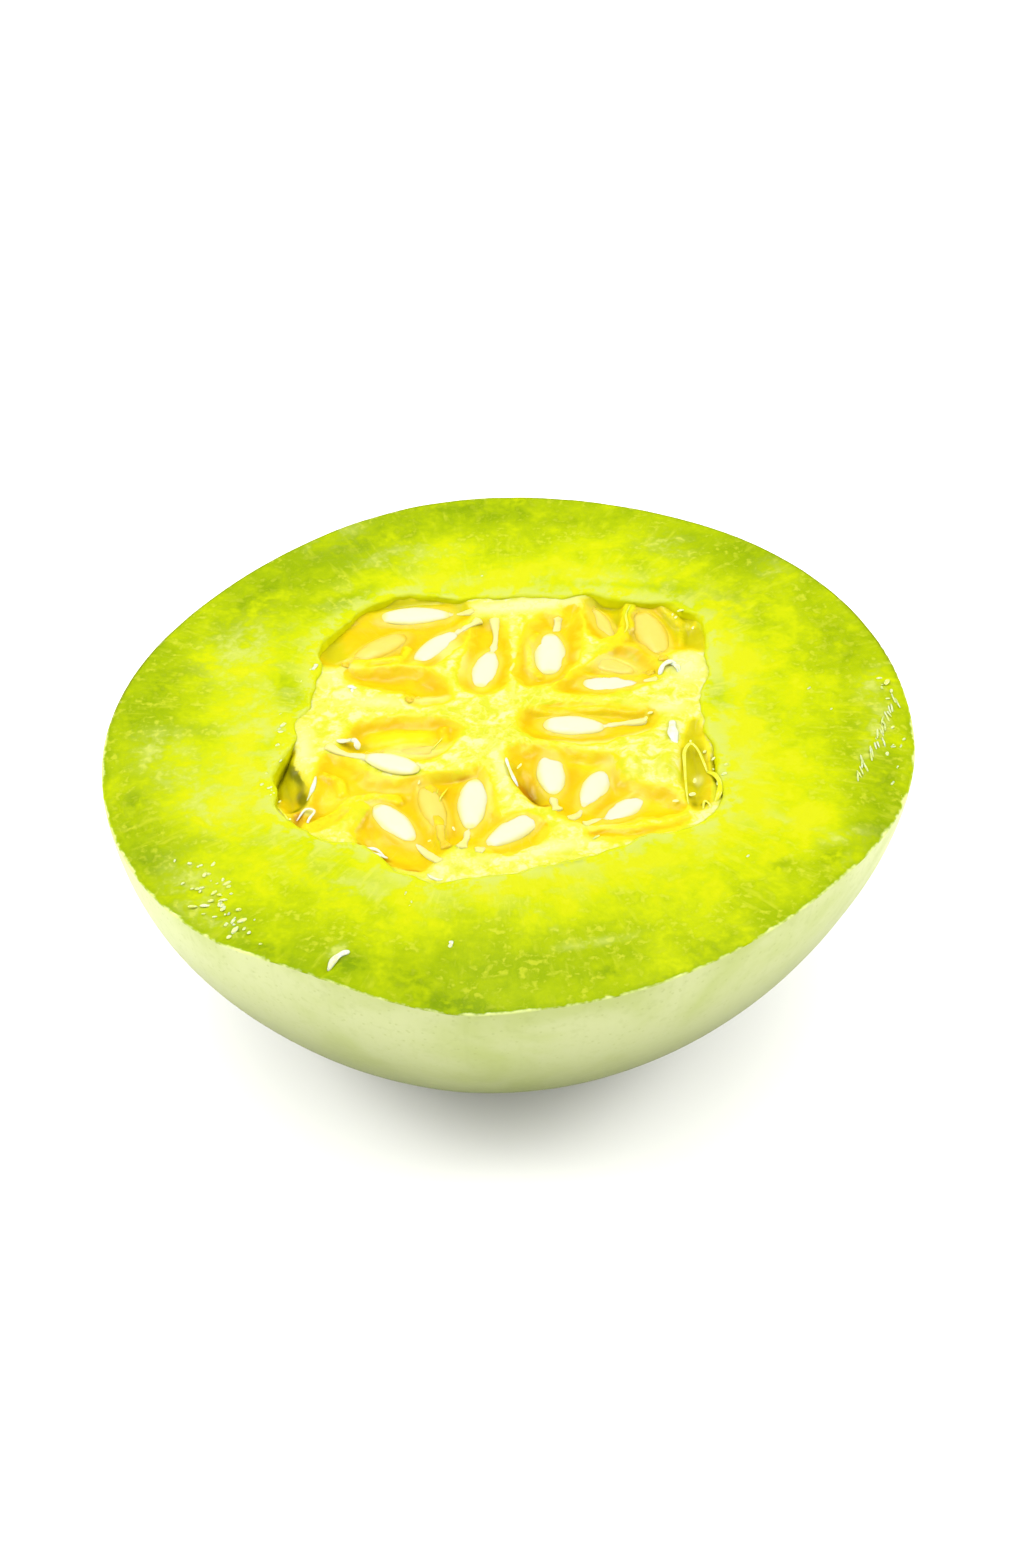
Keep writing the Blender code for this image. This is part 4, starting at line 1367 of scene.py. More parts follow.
            rows_of(
                Patch,
                (16, -6.8, 2.4, 3.6, -8, 1.5), (19.8, -8, 1.4, 3.2, -8, 1.5), (-9.6, 6.3, 2.2, 0.9, 5, 1.4),
                (-12, -3.8, 5, 1.1, 4, 1.3), (-7, 15.2, 1.7, 4, 15, 1.5), (13.6, 13, 3.6, 1.6, -20, 1.2),
                (3.2, 14.8, 0.8, 4, 0, 0.9), (-17.4, -12.6, 3, 1.2, 25, 1.1),
                (-19, -17.2, 0.8, 2.6, -10, 1.2), (-24.3, -14.2, 0.7, 0.7, 0, 2),
                (-20.6, 15.4, 1.6, 0.6, 10, 1), (10.5, -3.1, 4.5, 0.7, -3, 0.9),
                (16.6, -2.1, 2.4, 0.8, 10, 0.8), (-2.2, -11.7, 0.6, 4, 0, 0.7),
                (23.6, -10.6, 0.6, 1, 0, 1.2), (12.6, -7.1, 1.2, 1, 0, 0.6),
            ),
        ),
        (
            "frayed",
            rows_of(
                Patch,
                (2, 25.2, 9, 1.4, 4, 1.1), (-25.6, -3, 1.4, 5, 0, 0.8), (-22, 12, 3, 2, 40, 0.6),
                (23.4, 11, 2.2, 3.5, 0, 1), (20.5, 3, 2.5, 1.2, 0, 0.8), (-10, -24.8, 3, 1.2, 10, 0.7),
                (4, -22.9, 6, 1.2, 12, 0.9), (-0.6, -8, 0.9, 5, 10, 0.8), (0.8, 14, 0.6, 6, 0, 0.8),
                (-17, 6, 5, 1.2, -10, 0.6), (11, -18.6, 3, 0.8, 0, 0.6),
            ),
        ),
    )

    def shares(self, x: Array, y: Array) -> CoreShares:
        """Finds where the pockets' gel shows.

        Args:
            x: Places to the right, in metres.
            y: Places away from the viewer, in metres.

        Returns:
            1 in the gel and 0 on the tissue, how deep the pocket is in metres, and how far inside
            a pocket and how far outside all of them a place lies, from 0 to 1.
        """
        flat = np.stack([x, y, np.zeros_like(x)], -1)
        wide_x = x / MM + self.edge_waver * grain(flat, 2.4 * MM, 6.0, 2)
        wide_y = y / MM + self.edge_waver * grain(flat, 2.4 * MM, 8.0, 2)
        depth, furthest = np.zeros_like(x), np.full_like(x, -9.0)
        for pocket in self.pockets:
            reach = reach_inside(wide_x, wide_y, pocket.points) + self.pocket_spread
            depth = np.maximum(depth, self.pocket_depth * pocket.depth * MM * ease(-0.9, 2.3, reach))
            furthest = np.maximum(furthest, reach)
        gel = ease(-0.5, 0.5, furthest)
        for strand in self.strands:
            points = np.array(strand.points)
            lines = [away_from_line(wide_x, wide_y, start, end) for start, end in zip(points, points[1:])]
            share = 1.0 - ease(0.0, 0.7, np.minimum.reduce(lines) - strand.half_width)
            gel = gel * (1.0 - strand.height * share)
            depth = depth * (1.0 - strand.height * share)
        within = np.clip(furthest / self.fade_inside, 0.0, 1.0)
        return CoreShares(gel, depth, within, np.clip(-furthest / self.fade_outside, 0.0, 1.0))

    def web(self, x: Array, y: Array) -> Array:
        """Draws fine veins that run out from the middle.

        Args:
            x: Places to the right.
            y: Places away from the viewer.

        Returns:
            1 on a vein and 0 between.
        """
        radius = np.hypot(x, y)
        outward = np.stack([x, y], -1) / np.maximum(radius, 0.5 * MM)[..., None]
        wide = 10 * MM * np.tanh(radius / (10 * MM))
        drawn = np.concatenate([outward * wide[..., None], radius[..., None] * 0.40], -1)
        return np.clip(1.0 - 2.6 * np.abs(grain(drawn, 1.7 * MM, 14.0, 3)), 0.0, 1.0)

    def seed_halo(self, x: Array, y: Array) -> Array:
        """Finds the places under and beside the seeds.

        Args:
            x: Places to the right.
            y: Places away from the viewer.

        Returns:
            1 under and beside a seed, falling to 0 a millimetre or so from it.
        """
        nearest = np.minimum.reduce([away_from_seed(x / MM, y / MM, seed) for seed in SEEDS])
        return np.exp(-((np.maximum(nearest, 0.0) / self.halo_reach) ** 2))

    def top_height(self, x: Array, y: Array, found: CoreShares | None = None) -> Array:
        """Finds the height of the core's top, without the gel that climbs up the seeds.

        Args:
            x: Places to the right.
            y: Places away from the viewer.
            found: What lies there, if it is known.

        Returns:
            The height in metres at each place.
        """
        found = self.shares(x, y) if found is None else found
        flat = np.stack([x, y, np.zeros_like(x)], -1)
        swollen = MM * np.minimum(1.0, patched(x, y, self.swellings))
        sunk = self.top_drop + found.depth + MM * patched(x, y, self.hollows)
        veins = self.vein_depth * (1.0 - self.web(x, y)) * (1.0 - found.gel)
        uneven = (0.5 + 0.5 * grain(flat, 4 * MM, 12.0, 3)) * self.uneven_depth
        wavy = (0.5 + 0.5 * grain(flat, 2.5 * MM, 10.0, 2)) * self.wave_depth * found.gel
        return FRUIT.rest_height + FRUIT.cut_rise(x, y) - sunk - veins - uneven - wavy + swollen

    def on_all(self, values: Array, first: float) -> Array:
        """Values on the top's rings, carried down the side, with the first pole's own value."""
        whole = np.concatenate([values, np.repeat(values[-1:], self.side_rings, 0)])
        return with_poles(whole, first, values[-1, 0])

    def made(self, finish: bpy.types.Material) -> bpy.types.Object:
        """Builds the core.

        Args:
            finish: The finish of tissue and gel.

        Returns:
            The piece, which stands for the solid seed_core.
        """
        turn = np.linspace(0.0, 2 * math.pi, self.steps, endpoint=False)
        loose = np.minimum(1.0, humps(np.degrees(turn), self.loose))
        mouth = FRUIT.mouth_radius + self.overlap - (self.overlap + self.loose_gap) * loose
        deepest = FRUIT.cavity_depth - self.loose_gap
        shares = (np.arange(1, self.top_rings + 1) / self.top_rings) ** 0.9
        spread = np.linspace(math.asin(self.side_from / deepest), math.pi / 2, self.side_rings + 1)[:-1]
        side_depth = deepest * np.sin(spread)
        side_radius = FRUIT.bowl_radius(side_depth, FRUIT.mouth_radius - self.loose_gap, deepest)
        radius = np.concatenate([mouth * shares[:, None], np.repeat(side_radius[:, None], self.steps, 1)])
        depth = np.repeat(np.concatenate([np.zeros(self.top_rings), side_depth])[:, None], self.steps, 1)
        rows = FRUIT.grown(np.stack([radius * np.cos(turn), radius * np.sin(turn), -depth], -1))
        top = rows[: self.top_rings]
        x, y = top[..., 0], top[..., 1]
        found = self.shares(x, y)
        halo = self.seed_halo(x, y) * found.gel
        from_edge = mouth[None, :] * (1.0 - shares[:, None])
        crack = loose[None, :] * np.exp(-((from_edge / self.crack_width) ** 2))
        top[..., 2] = self.top_height(x, y, found) + self.gel_climb * halo - self.crack_depth * crack
        side = rows[self.top_rings :]
        highest = top[-1:, :, 2] - self.side_step * np.arange(1, self.side_rings + 1)[:, None]
        side[..., 2] = np.minimum(side[..., 2], highest)
        zero = np.zeros(1)
        middle = np.array([0.0, 0.0, float(self.top_height(zero, zero)[0])])
        core = ring_surface(rows, middle, np.array([0.0, 0.0, FRUIT.rest_height - deepest]))

        core.values = {
            "gel": self.on_all(np.maximum(found.gel, crack), 0.0),
            "within": self.on_all(found.within, 0.0),
            "outside": self.on_all(found.outside, 1.0),
            "web": self.on_all(self.web(x, y), 0.5),
            "halo": self.on_all(halo, 0.0),
        }
        for label, patches in self.spots:
            core.values[label] = self.on_all(patched(x, y, patches), 0.0)
        # Painted shade: the crack round the core is coloured olive
        core.values["olive_shade"] = np.maximum(core.values["olive_shade"], self.on_all(1.1 * crack, 0.0))
        piece = core.made("core_walls_and_gel", (finish,), "core")
        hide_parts("seed_core")
        return piece


@dataclass
class Seeds:
    """The seeds with their stalks, half sunk in the gel."""

    core: SeedCore
    thickness: float = 0.125
    above_gel: float = 0.00008
    around: int = 36
    along: int = 30
    neck: float = 0.22
    seed_grain: float = 0.07 * MM
    stalk_sides: int = 12
    stalk_steps: int = 6
    stalk_bend: float = 0.07
    stalk_sunk: float = 0.06 * MM
    stalk_fall: float = 0.38 * MM
    stalk_grain: float = 0.08 * MM

    def level(self, x: Array, y: Array) -> Array:
        """The height of the core's top at places in millimetres."""
        return self.core.top_height(np.asarray(x, float) * MM, np.asarray(y, float) * MM)

    def middle(self, seed: Seed) -> Array:
        """Finds the middle of a seed, a little above the gel that it lies in.

        Args:
            seed: The seed.

        Returns:
            The middle in metres.
        """
        heading = math.radians(seed.heading)
        steps = np.array([-0.3, -0.1, 0.1, 0.3]) * seed.length
        under = self.level(seed.x + steps * math.cos(heading), seed.y + steps * math.sin(heading)).mean()
        return np.array([seed.x * MM, seed.y * MM, float(under) + self.above_gel + seed.lift * MM])

    def seed_surface(self, seed: Seed) -> Surface:
        """Shapes one seed: a flat drop with a blunt end, a drawn-in end and a soft edge.

        Args:
            seed: The seed.

        Returns:
            Its surface, which carries how near its edge a point lies.
        """
        turn = np.linspace(0.0, math.pi, self.along + 2)[1:-1]
        run = -0.5 * np.cos(turn)
        drawn = 1.0 - self.neck * ease(-0.05, 0.5, run)
        girth = 0.5 * np.sin(turn) ** 0.92 * drawn
        round_it = np.linspace(0.0, 2 * math.pi, self.around, endpoint=False)
        cosine, sine = np.cos(round_it), np.sin(round_it)
        rows = np.stack(
            [
                np.broadcast_to(run[:, None], (self.along, self.around)),
                girth[:, None] * cosine * seed.plump * 1.06,
                girth[:, None] ** 0.8 * sine * self.thickness * 0.80,
            ],
            -1,
        )
        edge = np.maximum(np.abs(cosine)[None, :] ** 3, ease(0.34, 0.5, np.abs(run))[:, None])
        heading = math.radians(seed.heading)
        ahead = np.array([math.cos(heading), math.sin(heading), 0.0])
        aside = np.array([-math.sin(heading), math.cos(heading), 0.0])
        above = np.array([0.0, 0.0, 1.0])
        axes = np.stack([ahead, aside, above]) * seed.length * MM
        middle = self.middle(seed)
        made = ring_surface(rows @ axes + middle, middle - 0.5 * axes[0], middle + 0.5 * axes[0])
        made.points[:, 2] += FRUIT.cut_lean * (made.points[:, 0] - middle[0])
        made.points[:, 2] += self.seed_grain * grain(made.points, 1.6 * MM, seed.x)
        made.values = {"edge": with_poles(edge, 1.0, 1.0)}
        return made

    def stalk_surface(self, seed: Seed) -> Surface:
        """Shapes one stalk: a soft cord from inside the pointed end over the gel to its root.

        Args:
            seed: The stalk's seed.

        Returns:
            Its surface.
        """
        heading = math.radians(seed.heading)
        inside = np.array([math.cos(heading), math.sin(heading)]) * seed.length * 0.40
        start, root = np.array([seed.x, seed.y]) + inside, np.array(seed.root)
        run = root - start
        share = np.array([0.0, 0.25, 0.5, 0.75, 1.0])
        bend = np.array([-run[1], run[0]]) * self.stalk_bend * math.sin(seed.x * 3.0)
        flat = start + share[:, None] * run + np.sin(math.pi * share)[:, None] * bend
        height = self.level(flat[:, 0], flat[:, 1]) - self.stalk_sunk
        height = np.maximum(height, np.linspace(self.middle(seed)[2], height[-1], 5) - self.stalk_fall)
        path = smooth_path(np.column_stack([flat * MM, height]), self.stalk_steps)
        along = np.linspace(0.0, 1.0, len(path))
        radii = MM * (0.46 + 0.22 * np.abs(2 * along - 1.0) ** 2 + 0.08 * np.sin(9 * along + seed.y))
        made = cord_surface(path, radii, self.stalk_sides, 0.5)
        made.points[:, 2] += self.stalk_grain * grain(made.points, 0.8 * MM, seed.y)
        to_root = with_poles(np.repeat(along[:, None], self.stalk_sides, 1), 0.0, 1.0)
        made.values = {"edge": 0.45 + 0.4 * to_root}
        return made

    def made(self, finishes: dict[SeedKind, bpy.types.Material]) -> list[bpy.types.Object]:
        """Builds the seeds and stalks of each kind.

        Args:
            finishes: The finish of each kind.

        Returns:
            The pieces.
        """
        pieces = []
        for kind, finish in finishes.items():
            chosen = [seed for seed in SEEDS if seed.kind is kind]
            seeds = joined([self.seed_surface(seed) for seed in chosen])
            stalks = joined([self.stalk_surface(seed) for seed in chosen])
            pieces.append(seeds.made("seeds_" + kind.value, (finish,), "core"))
            pieces.append(stalks.made("stalks_" + kind.value, (finish,), "core"))
        return pieces


class Bead(NamedTuple):
    """A small wet bump, in millimetres and degrees: its middle, length, width and turn."""

    x: float
    y: float
    length: float
    width: float
    turn: float = 0.0


class Thread(NamedTuple):
    """A thread of tissue or the edge of a film, in millimetres.

    Its points are to the right, away from the viewer, and up from the cut.
    """

    radius: float
    points: tuple[tuple[float, float, float], ...]


@dataclass
class Trimmings:
    """The small wet bits that the knife left: torn threads, films and beads of juice, whose pale colour is
    partly painted highlight.
    """

    flat: float = 0.40
    core_reach: float = 28.0
    furthest_bead: float = 48.5
    smallest_bead: float = 0.26
    stroke_count: int = 24
    stroke_length: float = 1.5
    stroke_width: float = 0.26
    stroke_turn: float = 96.0
    stroke_seed: int = 7
    scatter_seed: int = 11
    bead_rings: int = 7
    bead_sides: int = 14
    bead_sunk: float = 0.12
    sunk_in_core: float = 0.30
    bead_grain: float = 0.10 * MM
    thread_sides: int = 10
    thread_steps: int = 7
    torn_spots: tuple = (
        (-35.0, -28.0, 6.5, 2.4, -58, 22),
        (-31.5, -35.0, 3.0, 1.6, -40, 9),
        (48.6, -2.0, 12.0, 0.8, 84, 14),
        (48.4, 6.4, 1.6, 0.8, 60, 8),
        (-28.0, 1.5, 4.0, 1.4, 75, 10),
        (-28.5, -12.0, 5.0, 1.0, -65, 9),
        (26.5, -8.5, 4.5, 1.2, 85, 10),
    )
    white_threads: tuple = (
        Thread(0.6, ((20.9, 0.2, -0.4), (20.8, -1.6, -0.1), (20.9, -3.2, -0.1), (21.2, -5.2, -0.5))),
        Thread(0.36, ((19.7, 9.7, -0.5), (20.2, 10.9, 0), (21.2, 11.6, 0), (22.2, 11.3, -0.4))),
        Thread(0.34, ((21.2, 11.5, -0.2), (22, 10.6, 0), (22.2, 9.6, -0.4))),
        Thread(0.36, ((-21.8, -0.9, -0.6), (-20.4, -1.6, -0.2), (-19.4, -1.4, -0.2))),
        Thread(0.42, ((-19.6, -1.2, -0.3), (-18.9, -1.8, -0.2), (-18.6, -2.7, -0.7))),
        Thread(0.34, ((-20.7, 9.8, -0.6), (-19.8, 9.1, -0.2), (-18.9, 8.7, -0.5))),
        Thread(0.24, ((-19.9, 9, -0.3), (-19.7, 8.2, -0.3), (-19.4, 7.6, -0.7))),
        Thread(0.2, ((-17.6, -20.4, -1), (-16.8, -21.3, -0.6), (-15.6, -21.7, -0.6), (-14.6, -22.7, -0.9))),
        Thread(0.22, ((-16.2, -21.9, -0.8), (-15.4, -22.6, -0.6), (-14.3, -23, -0.8))),
        Thread(
            0.2, (
                (-9.6, -25.6, -0.7), (-9.2, -26.9, -0.3), (-8, -27.7, -0.3), (-6.8, -27.2, -0.4),
                (-6.1, -26, -0.7),
            ),
        ),
        Thread(0.2, ((-0.1, -5.2, -0.7), (0.2, -7.2, -0.3), (0.8, -9.2, -0.5), (1.4, -10.6, -0.9))),
        Thread(0.26, ((-24, -5.8, -0.9), (-23.7, -8, -0.4), (-24, -10.6, -0.4), (-24.5, -12, -0.8))),
        Thread(
            0.16, (
                (-25.6, -15.6, -0.8), (-24.6, -14.3, -0.2), (-23.5, -14.4, -0.4), (-24.1, -15.9, -0.4),
                (-24.4, -17, -0.9),
            ),
        ),
        Thread(0.28, ((-25.4, 12.6, -0.4), (-24.8, 13.4, 0), (-24.7, 14.4, -0.3))),
        Thread(0.42, ((-20.4, -43.2, -0.5), (-19.8, -41.8, -0.1), (-18.9, -40.8, 0), (-18, -40, -0.3))),
        Thread(0.26, ((-6.8, -39.2, -0.3), (-6.4, -38.4, 0), (-6.6, -37.8, -0.3))),
    )
    film_edges: tuple = (
        Thread(
            0.2, (
                (22.2, -16.4, -0.8), (22, -13, -0.3), (22, -9, -0.2), (22.1, -6.2, -0.1), (22.9, -4.8, 0),
                (23.7, -5.8, -0.1), (24.3, -7.8, -0.3), (24.8, -9.8, -0.6),
            ),
        ),
        Thread(
            0.34, (
                (24.7, -9.6, -0.6), (25.6, -10.8, -0.1), (26.1, -12.4, -0.1), (25.9, -14.2, -0.2),
                (25.1, -16, -0.7),
            ),
        ),
        Thread(0.16, ((23.8, -16.9, -0.6), (24.1, -15.5, -0.2), (24.8, -16.4, -0.3), (24.2, -17, -0.5))),
        Thread(0.16, ((18.5, -8, -0.7), (18.3, -10.2, -0.5), (18.9, -12.2, -0.7))),
        Thread(0.14, ((14.9, 17.6, -0.6), (15.9, 19.6, -0.3), (15.8, 22.2, -0.3), (16.5, 24.8, -0.6))),
        Thread(0.12, ((-18.4, -19.6, -0.8), (-17.6, -21.6, -0.7), (-16, -23.5, -0.7), (-14.2, -24, -0.8))),
        Thread(
            0.13, (
                (-28, -13.4, -0.5), (-26.8, -15.6, -0.3), (-25.6, -18.2, -0.4), (-25.2, -19.6, -0.7),
            ),
        ),
        Thread(0.12, ((-28.6, -14.6, -0.4), (-27.2, -17.4, -0.3), (-26, -19.2, -0.5))),
        Thread(0.12, ((-8.4, -10.6, -0.9), (-8.8, -13.4, -0.7), (-7.8, -17, -0.8))),
        Thread(0.12, ((-7.2, -10.4, -0.9), (-8.2, -13, -0.7), (-7.6, -15, -0.9))),
        Thread(0.1, ((-7.4, 0.2, -0.9), (-8.4, -1.6, -0.8), (-9.4, -3.2, -0.9))),
    )
    beads: tuple = rows_of(
        Bead,
        (-36.8, -23.7, 0.8, 0.47, 30), (-35.2, -23.5, 0.88, 0.47, 70), (-35.6, -25.2, 0.64, 0.39, 20),
        (-33.8, -26.4, 0.64, 0.39, 80), (-33, -27.7, 0.72, 0.47, 30), (-34.7, -28.5, 0.96, 0.47, 50),
        (-36.8, -27.5, 0.64, 0.47, 10), (-37.1, -30.4, 1.2, 0.39, 0), (-35.6, -30.5, 1.36, 0.47, 0),
        (-33.4, -29.9, 1.04, 0.39, 10), (-33.4, -31.4, 0.88, 0.55, 60), (-31.5, -31.9, 0.72, 0.47, 20),
        (-30.8, -33.9, 1.52, 0.62, 25), (-30.6, -35.4, 0.64, 0.39, 70), (-32.3, -36.5, 0.72, 0.47, 40),
        (48.5, 6.6, 1.28, 0.62, 60), (47.6, 7.4, 0.8, 0.39, 20), (48.9, 5, 0.8, 0.39, 80),
        (49.6, -3.8, 0.64, 0.39, 50), (49, -5.3, 0.72, 0.31, 60), (47.2, -12.6, 0.96, 0.31, 60),
        (47.9, -15, 0.64, 0.31, 50), (48.2, -9.4, 0.64, 0.31, 70), (41, 1.5, 0.72, 0.27, 60),
        (38.5, 5.6, 0.64, 0.27, 50), (21.4, -7.6, 0.8, 0.55, 80), (21.1, -9, 0.88, 0.47, 60),
        (19.6, -11.2, 0.96, 0.55, 20), (20.6, -15, 0.8, 0.39, 10), (22.7, -13.9, 0.96, 0.62, 30),
        (23.1, -11.4, 1.04, 0.47, 80), (24.6, -6, 0.72, 0.39, 60), (25.6, -7.4, 0.72, 0.31, 50),
        (23, -3.8, 0.48, 0.31, 80), (25.9, -12.2, 1.28, 0.39, 80), (-26.4, 10.6, 0.56, 0.39, 60),
        (-25.4, 13, 0.56, 0.39, 60), (-28.8, 1.2, 0.64, 0.47, 30), (-27.3, 2.4, 0.8, 0.31, 50),
        (-28.2, -5, 0.64, 0.27, 60), (22.3, 21, 0.64, 0.31, 60), (23, 22.4, 1.04, 0.39, 20),
        (24.4, 18.6, 0.56, 0.27, 70), (21.9, 21.6, 0.48, 0.27, 80), (-9.3, -20.6, 0.48, 0.31, 40),
        (-6.4, -18.6, 0.8, 0.27, 110), (-10.8, -9.8, 0.8, 0.27, 80), (1.6, -7.4, 1.12, 0.35, 60),
        (10.8, -21, 1.04, 0.35, 40), (12, -22, 0.88, 0.39, 20), (-3.2, 31.8, 0.64, 0.31, 60),
        (17.6, 0.9, 0.8, 0.47, 80), (18.2, 2, 0.72, 0.39, 20), (20, 8.6, 0.8, 0.31, 60),
        (-11.3, -31.9, 1.04, 0.31, 70), (-11.9, -30.2, 0.72, 0.31, 80), (-8.6, -25, 0.64, 0.31, 40),
        (28.6, -26, 0.56, 0.31, 40),
    )

    def level(self, x: float, y: float) -> float:
        """The height of the knife's cut over a place in millimetres."""
        return float(FRUIT.rest_height + FRUIT.cut_rise(np.array([x * MM]), np.array([y * MM]))[0])

    def bead_surface(self, bead: Bead) -> Surface:
        """Shapes one bead: a low, uneven drop that is half sunk in what carries it.

        Args:
            bead: The bead.

        Returns:
            Its surface.
        """
        turn = np.linspace(0.0, math.pi, self.bead_rings + 2)[1:-1]
        round_it = np.linspace(0.0, 2 * math.pi, self.bead_sides, endpoint=False)
        rows = np.stack(
            [
                np.repeat(-0.5 * np.cos(turn)[:, None] * bead.length, self.bead_sides, 1),
                0.5 * np.sin(turn)[:, None] * np.cos(round_it) * bead.width,
                0.5 * np.sin(turn)[:, None] * np.sin(round_it) * bead.width * self.flat,
            ],
            -1,
        )
        cosine, sine = cos_sin(bead.turn)
        axes = np.array([[cosine, sine, 0.0], [-sine, cosine, 0.0], [0.0, 0.0, 1.0]]) * MM
        in_core = 1.0 if math.hypot(bead.x, bead.y) < self.core_reach else 0.0
        height = self.level(bead.x, bead.y) - (self.bead_sunk + self.sunk_in_core * in_core) * MM
        middle = np.array([bead.x * MM, bead.y * MM, height])
        along = axes[0] * bead.length * 0.5
        made = ring_surface(rows @ axes + middle, middle - along, middle + along)
        made.points[:, 2] += self.bead_grain * grain(made.points, 0.5 * MM, bead.x, 2)
        return made

    def strokes(self) -> list[Bead]:
        """Lays the row of short wet strokes where the knife changed its slope, on the right.

        Returns:
            The strokes.
        """
        rng = np.random.default_rng(self.stroke_seed)
        beads = []
        for share in np.linspace(0.0, 1.0, self.stroke_count):
            x, y = 43.0 + 6.2 * share**0.85, -11.9 + 15.4 * share
            x, y = x + rng.normal(0.0, 0.45), y + rng.normal(0.0, 0.2)
            length = self.stroke_length + 0.7 * rng.random()
            beads.append(Bead(x, y, length, self.stroke_width, self.stroke_turn + rng.normal(0.0, 10.0)))
        return beads

    def scatter(self) -> list[Bead]:
        """Scatters tiny beads where the knife tore the flesh: on both slopes and beside the cavity.

        Returns:
            The beads.
        """
        rng = np.random.default_rng(self.scatter_seed)
        beads = []
        for x, y, along, across, turn, count in self.torn_spots:
            cosine, sine = cos_sin(turn)
            for ahead, aside in rng.normal(0.0, 0.6, (count, 2)) * (along, across):
                place = x + ahead * cosine - aside * sine, y + ahead * sine + aside * cosine
                size = self.smallest_bead + 0.40 * rng.random() ** 2
                if math.hypot(*place) < self.furthest_bead:
                    beads.append(Bead(*place, size * (1.2 + rng.random()), size, rng.uniform(0.0, 90.0)))
        return beads

    def thread_surface(self, thread: Thread) -> Surface:
        """Shapes one thread, thinner towards its ends.

        Args:
            thread: The thread.

        Returns:
            Its surface.
        """
        points = np.array(thread.points)
        lifted = [[x * MM, y * MM, self.level(x, y) + z * MM] for x, y, z in points]
        path = smooth_path(np.array(lifted), self.thread_steps)
        along = np.linspace(0.0, 1.0, len(path))
        uneven = 1.0 + 0.18 * np.sin(11 * along + points[0, 0])
        radii = thread.radius * MM * uneven * (0.45 + 0.55 * np.sin(math.pi * along) ** 0.5)
        return cord_surface(path, radii, self.thread_sides, 0.5)

    def made(
        self, white: bpy.types.Material, juice: bpy.types.Material, film: bpy.types.Material
    ) -> list[bpy.types.Object]:
        """Builds the trimmings.

        Args:
            white: The finish of torn threads.
            juice: The finish of the beads of juice, pale so that they also stand for painted glints.
            film: The finish of the films' edges.

        Returns:
            The pieces.
        """
        threads = joined([self.thread_surface(thread) for thread in self.white_threads])
        edges = joined([self.thread_surface(thread) for thread in self.film_edges])
        wet = (*self.beads, *self.strokes(), *self.scatter())
        beads = joined([self.bead_surface(bead) for bead in wet])
        return [
            threads.made("torn_threads", (white,), "core"),
            edges.made("film_edges", (film,), "core"),
            beads.made("juice_beads", (juice,), "flesh"),
        ]


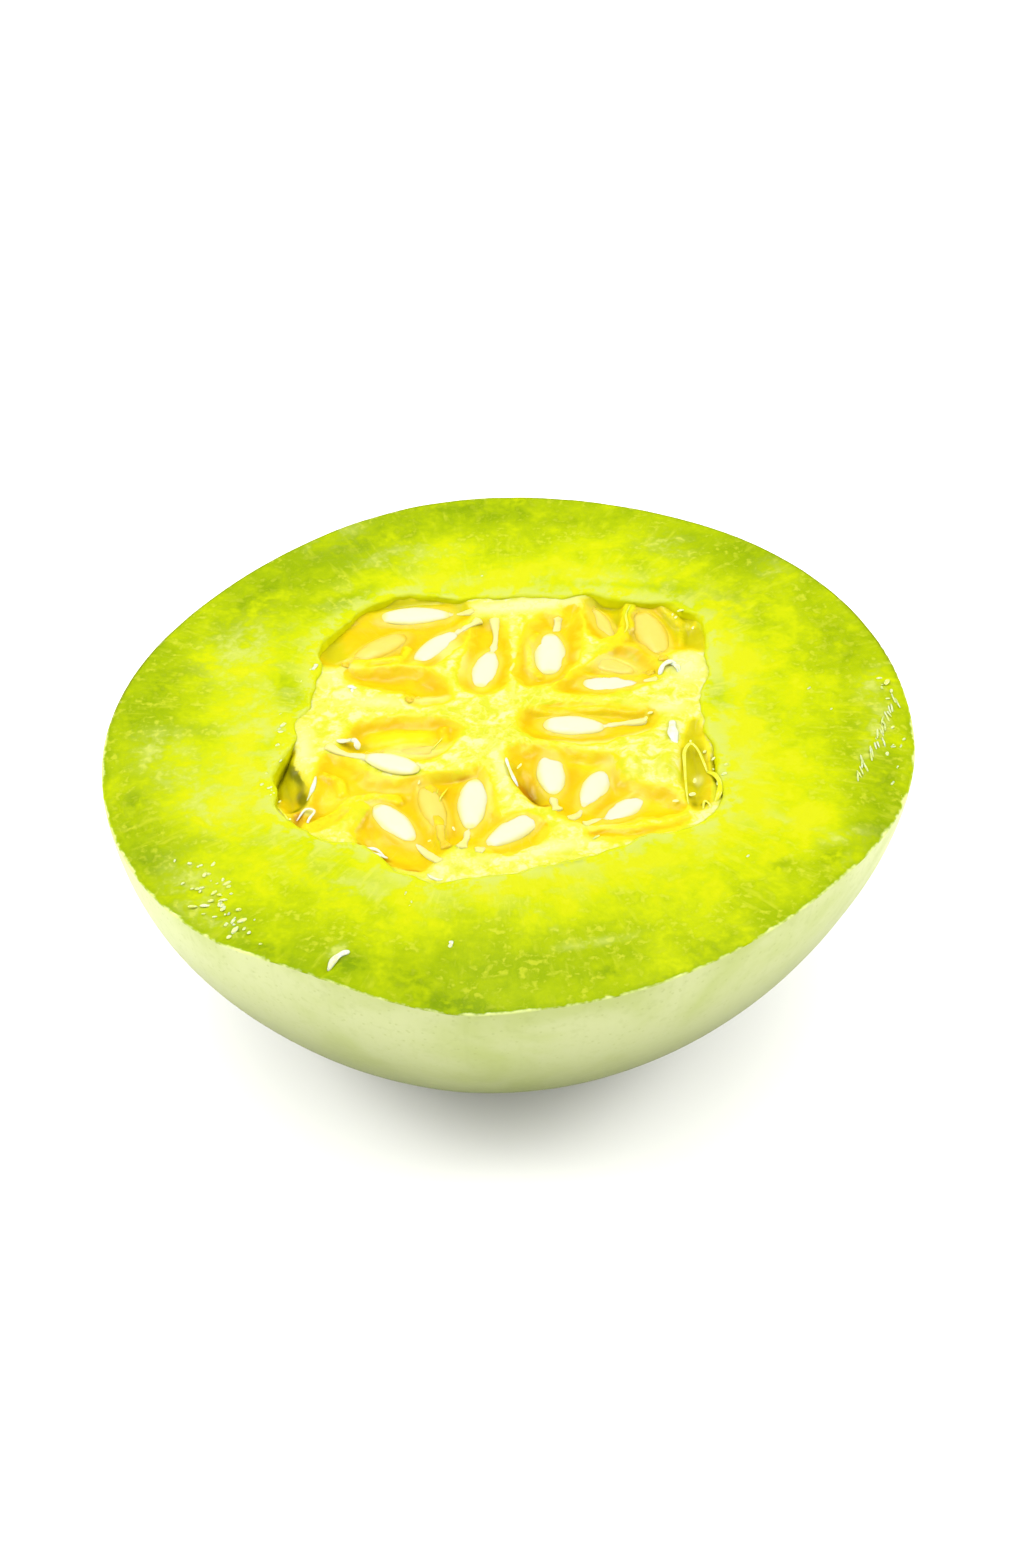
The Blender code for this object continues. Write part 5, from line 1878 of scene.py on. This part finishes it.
@dataclass
class Studio:
    """The pale floor, the soft light and the camera at the photograph's angle."""

    camera_elevation: float = 39.9
    camera_distance: float = 0.350
    focal_pixels: float = 2778.5
    frame_wide: float = 1024.0
    frame_high: float = 1542.0
    cut_middle_pixel: tuple[float, float] = (506.4, 725.6)
    sensor: float = 36.0
    floor_half: float = 6.0
    sky_low: float = 1.20
    sky_high: float = 1.95
    lamps: tuple = (
        ("key", (-0.12, 0.26, 0.62), 0.26, 1.56),
        ("left_side", (-0.57, 0.04, 0.42), 0.30, 3.6),
        ("right_side", (0.57, 0.10, 0.42), 0.30, 3.2),
    )

    def floor(self) -> None:
        """Lays the floor."""
        mesh = bpy.data.meshes.new("floor")
        half = self.floor_half
        corners = [(-half, -half, 0), (half, -half, 0), (half, half, 0), (-half, half, 0)]
        mesh.from_pydata(corners, [], [(0, 1, 2, 3)])
        work = Paintwork("studio_floor")
        mesh.materials.append(work.finish(paint(231, 231, 228, 1.0), Roughness=0.8, Specular_IOR_Level=0.1))
        floor = bpy.data.objects.new("floor", mesh)
        bpy.context.scene.collection.objects.link(floor)

    def light(self) -> None:
        """Sets a white sky, brighter overhead, a lamp above and behind, and one on each side."""
        world = bpy.data.worlds.new("studio_sky")
        bpy.context.scene.world = world
        world.use_nodes = True
        nodes, links = world.node_tree.nodes, world.node_tree.links
        sky = nodes["Background"]
        sky.inputs["Color"].default_value = (1.0, 1.0, 0.995, 1.0)
        place, height = nodes.new("ShaderNodeTexCoord"), nodes.new("ShaderNodeSeparateXYZ")
        links.new(place.outputs["Generated"], height.inputs[0])
        strength = nodes.new("ShaderNodeMapRange")
        links.new(height.outputs["Z"], strength.inputs["Value"])
        strength.inputs["To Min"].default_value = self.sky_low
        strength.inputs["To Max"].default_value = self.sky_high
        links.new(strength.outputs["Result"], sky.inputs["Strength"])
        # Wet spots mirror the lamps alone, so that the flesh keeps its deep colour
        world.cycles_visibility.glossy = False
        for name, place, size, power in self.lamps:
            lamp = bpy.data.lights.new(name, "AREA")
            lamp.size = size
            lamp.energy = power
            light = bpy.data.objects.new(name, lamp)
            light.location = place
            aim = Vector((0.0, 0.0, FRUIT.rest_height)) - light.location
            light.rotation_euler = aim.to_track_quat("-Z", "Y").to_euler()
            bpy.context.scene.collection.objects.link(light)

    def camera(self) -> None:
        """Places the camera so that the cut's middle falls on its pixel of the photograph."""
        data = bpy.data.cameras.new("camera")
        data.sensor_width = self.sensor
        data.lens = self.focal_pixels / self.frame_high * self.sensor
        data.clip_start, data.clip_end = 0.01, 50.0
        turn = math.radians(self.camera_elevation)
        forward = Vector((0.0, math.cos(turn), -math.sin(turn)))
        up = Vector((0.0, math.sin(turn), math.cos(turn)))
        pixel = self.camera_distance / self.focal_pixels
        right_by = (self.frame_wide / 2 - self.cut_middle_pixel[0]) * pixel
        up_by = (self.cut_middle_pixel[1] - self.frame_high / 2) * pixel
        middle = Vector((FRUIT.bottom_lean, 0.0, FRUIT.rest_height))
        camera = bpy.data.objects.new("camera", data)
        camera.location = middle - forward * self.camera_distance
        looks_at = middle + Vector((right_by, 0.0, 0.0)) + up * up_by
        camera.rotation_euler = (looks_at - camera.location).to_track_quat("-Z", "Y").to_euler()
        bpy.context.scene.collection.objects.link(camera)
        bpy.context.scene.camera = camera
        bpy.context.scene.view_settings.view_transform = "Standard"


def main() -> None:
    """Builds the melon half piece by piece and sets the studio."""
    logging.basicConfig(level=logging.INFO, format="%(name)s: %(message)s")
    studio = Studio()
    studio.camera()
    studio.light()
    studio.floor()
    MelonBody().made(FleshFinish().made(), RindFinish().made())
    core = SeedCore()
    core.made(CoreFinish().made())
    white = SeedFinish("seed_white", paint(255, 254, 218, 2.50), paint(254, 244, 140, 2.25), 0.35)
    coated = SeedFinish("seed_in_gel", paint(254, 232, 104, 2.34), paint(253, 216, 34, 2.34), 0.45)
    Seeds(core).made({SeedKind.WHITE: white.made(), SeedKind.IN_GEL: coated.made()})
    torn = WetFinish("torn_tissue", paint(255, 255, 232, 2.11), paint(253, 253, 186, 2.21))
    # Beads of juice, pale so that they also stand for painted glints on the wet flesh
    juice = WetFinish("juice_bead", paint(253, 255, 186, 2.10), paint(246, 251, 130, 2.20))
    film = WetFinish("film_edge", paint(253, 250, 100, 2.08), paint(246, 238, 36, 2.15))
    Trimmings().made(torn.made(), juice.made(), film.made())


if __name__ == "__main__":
    main()
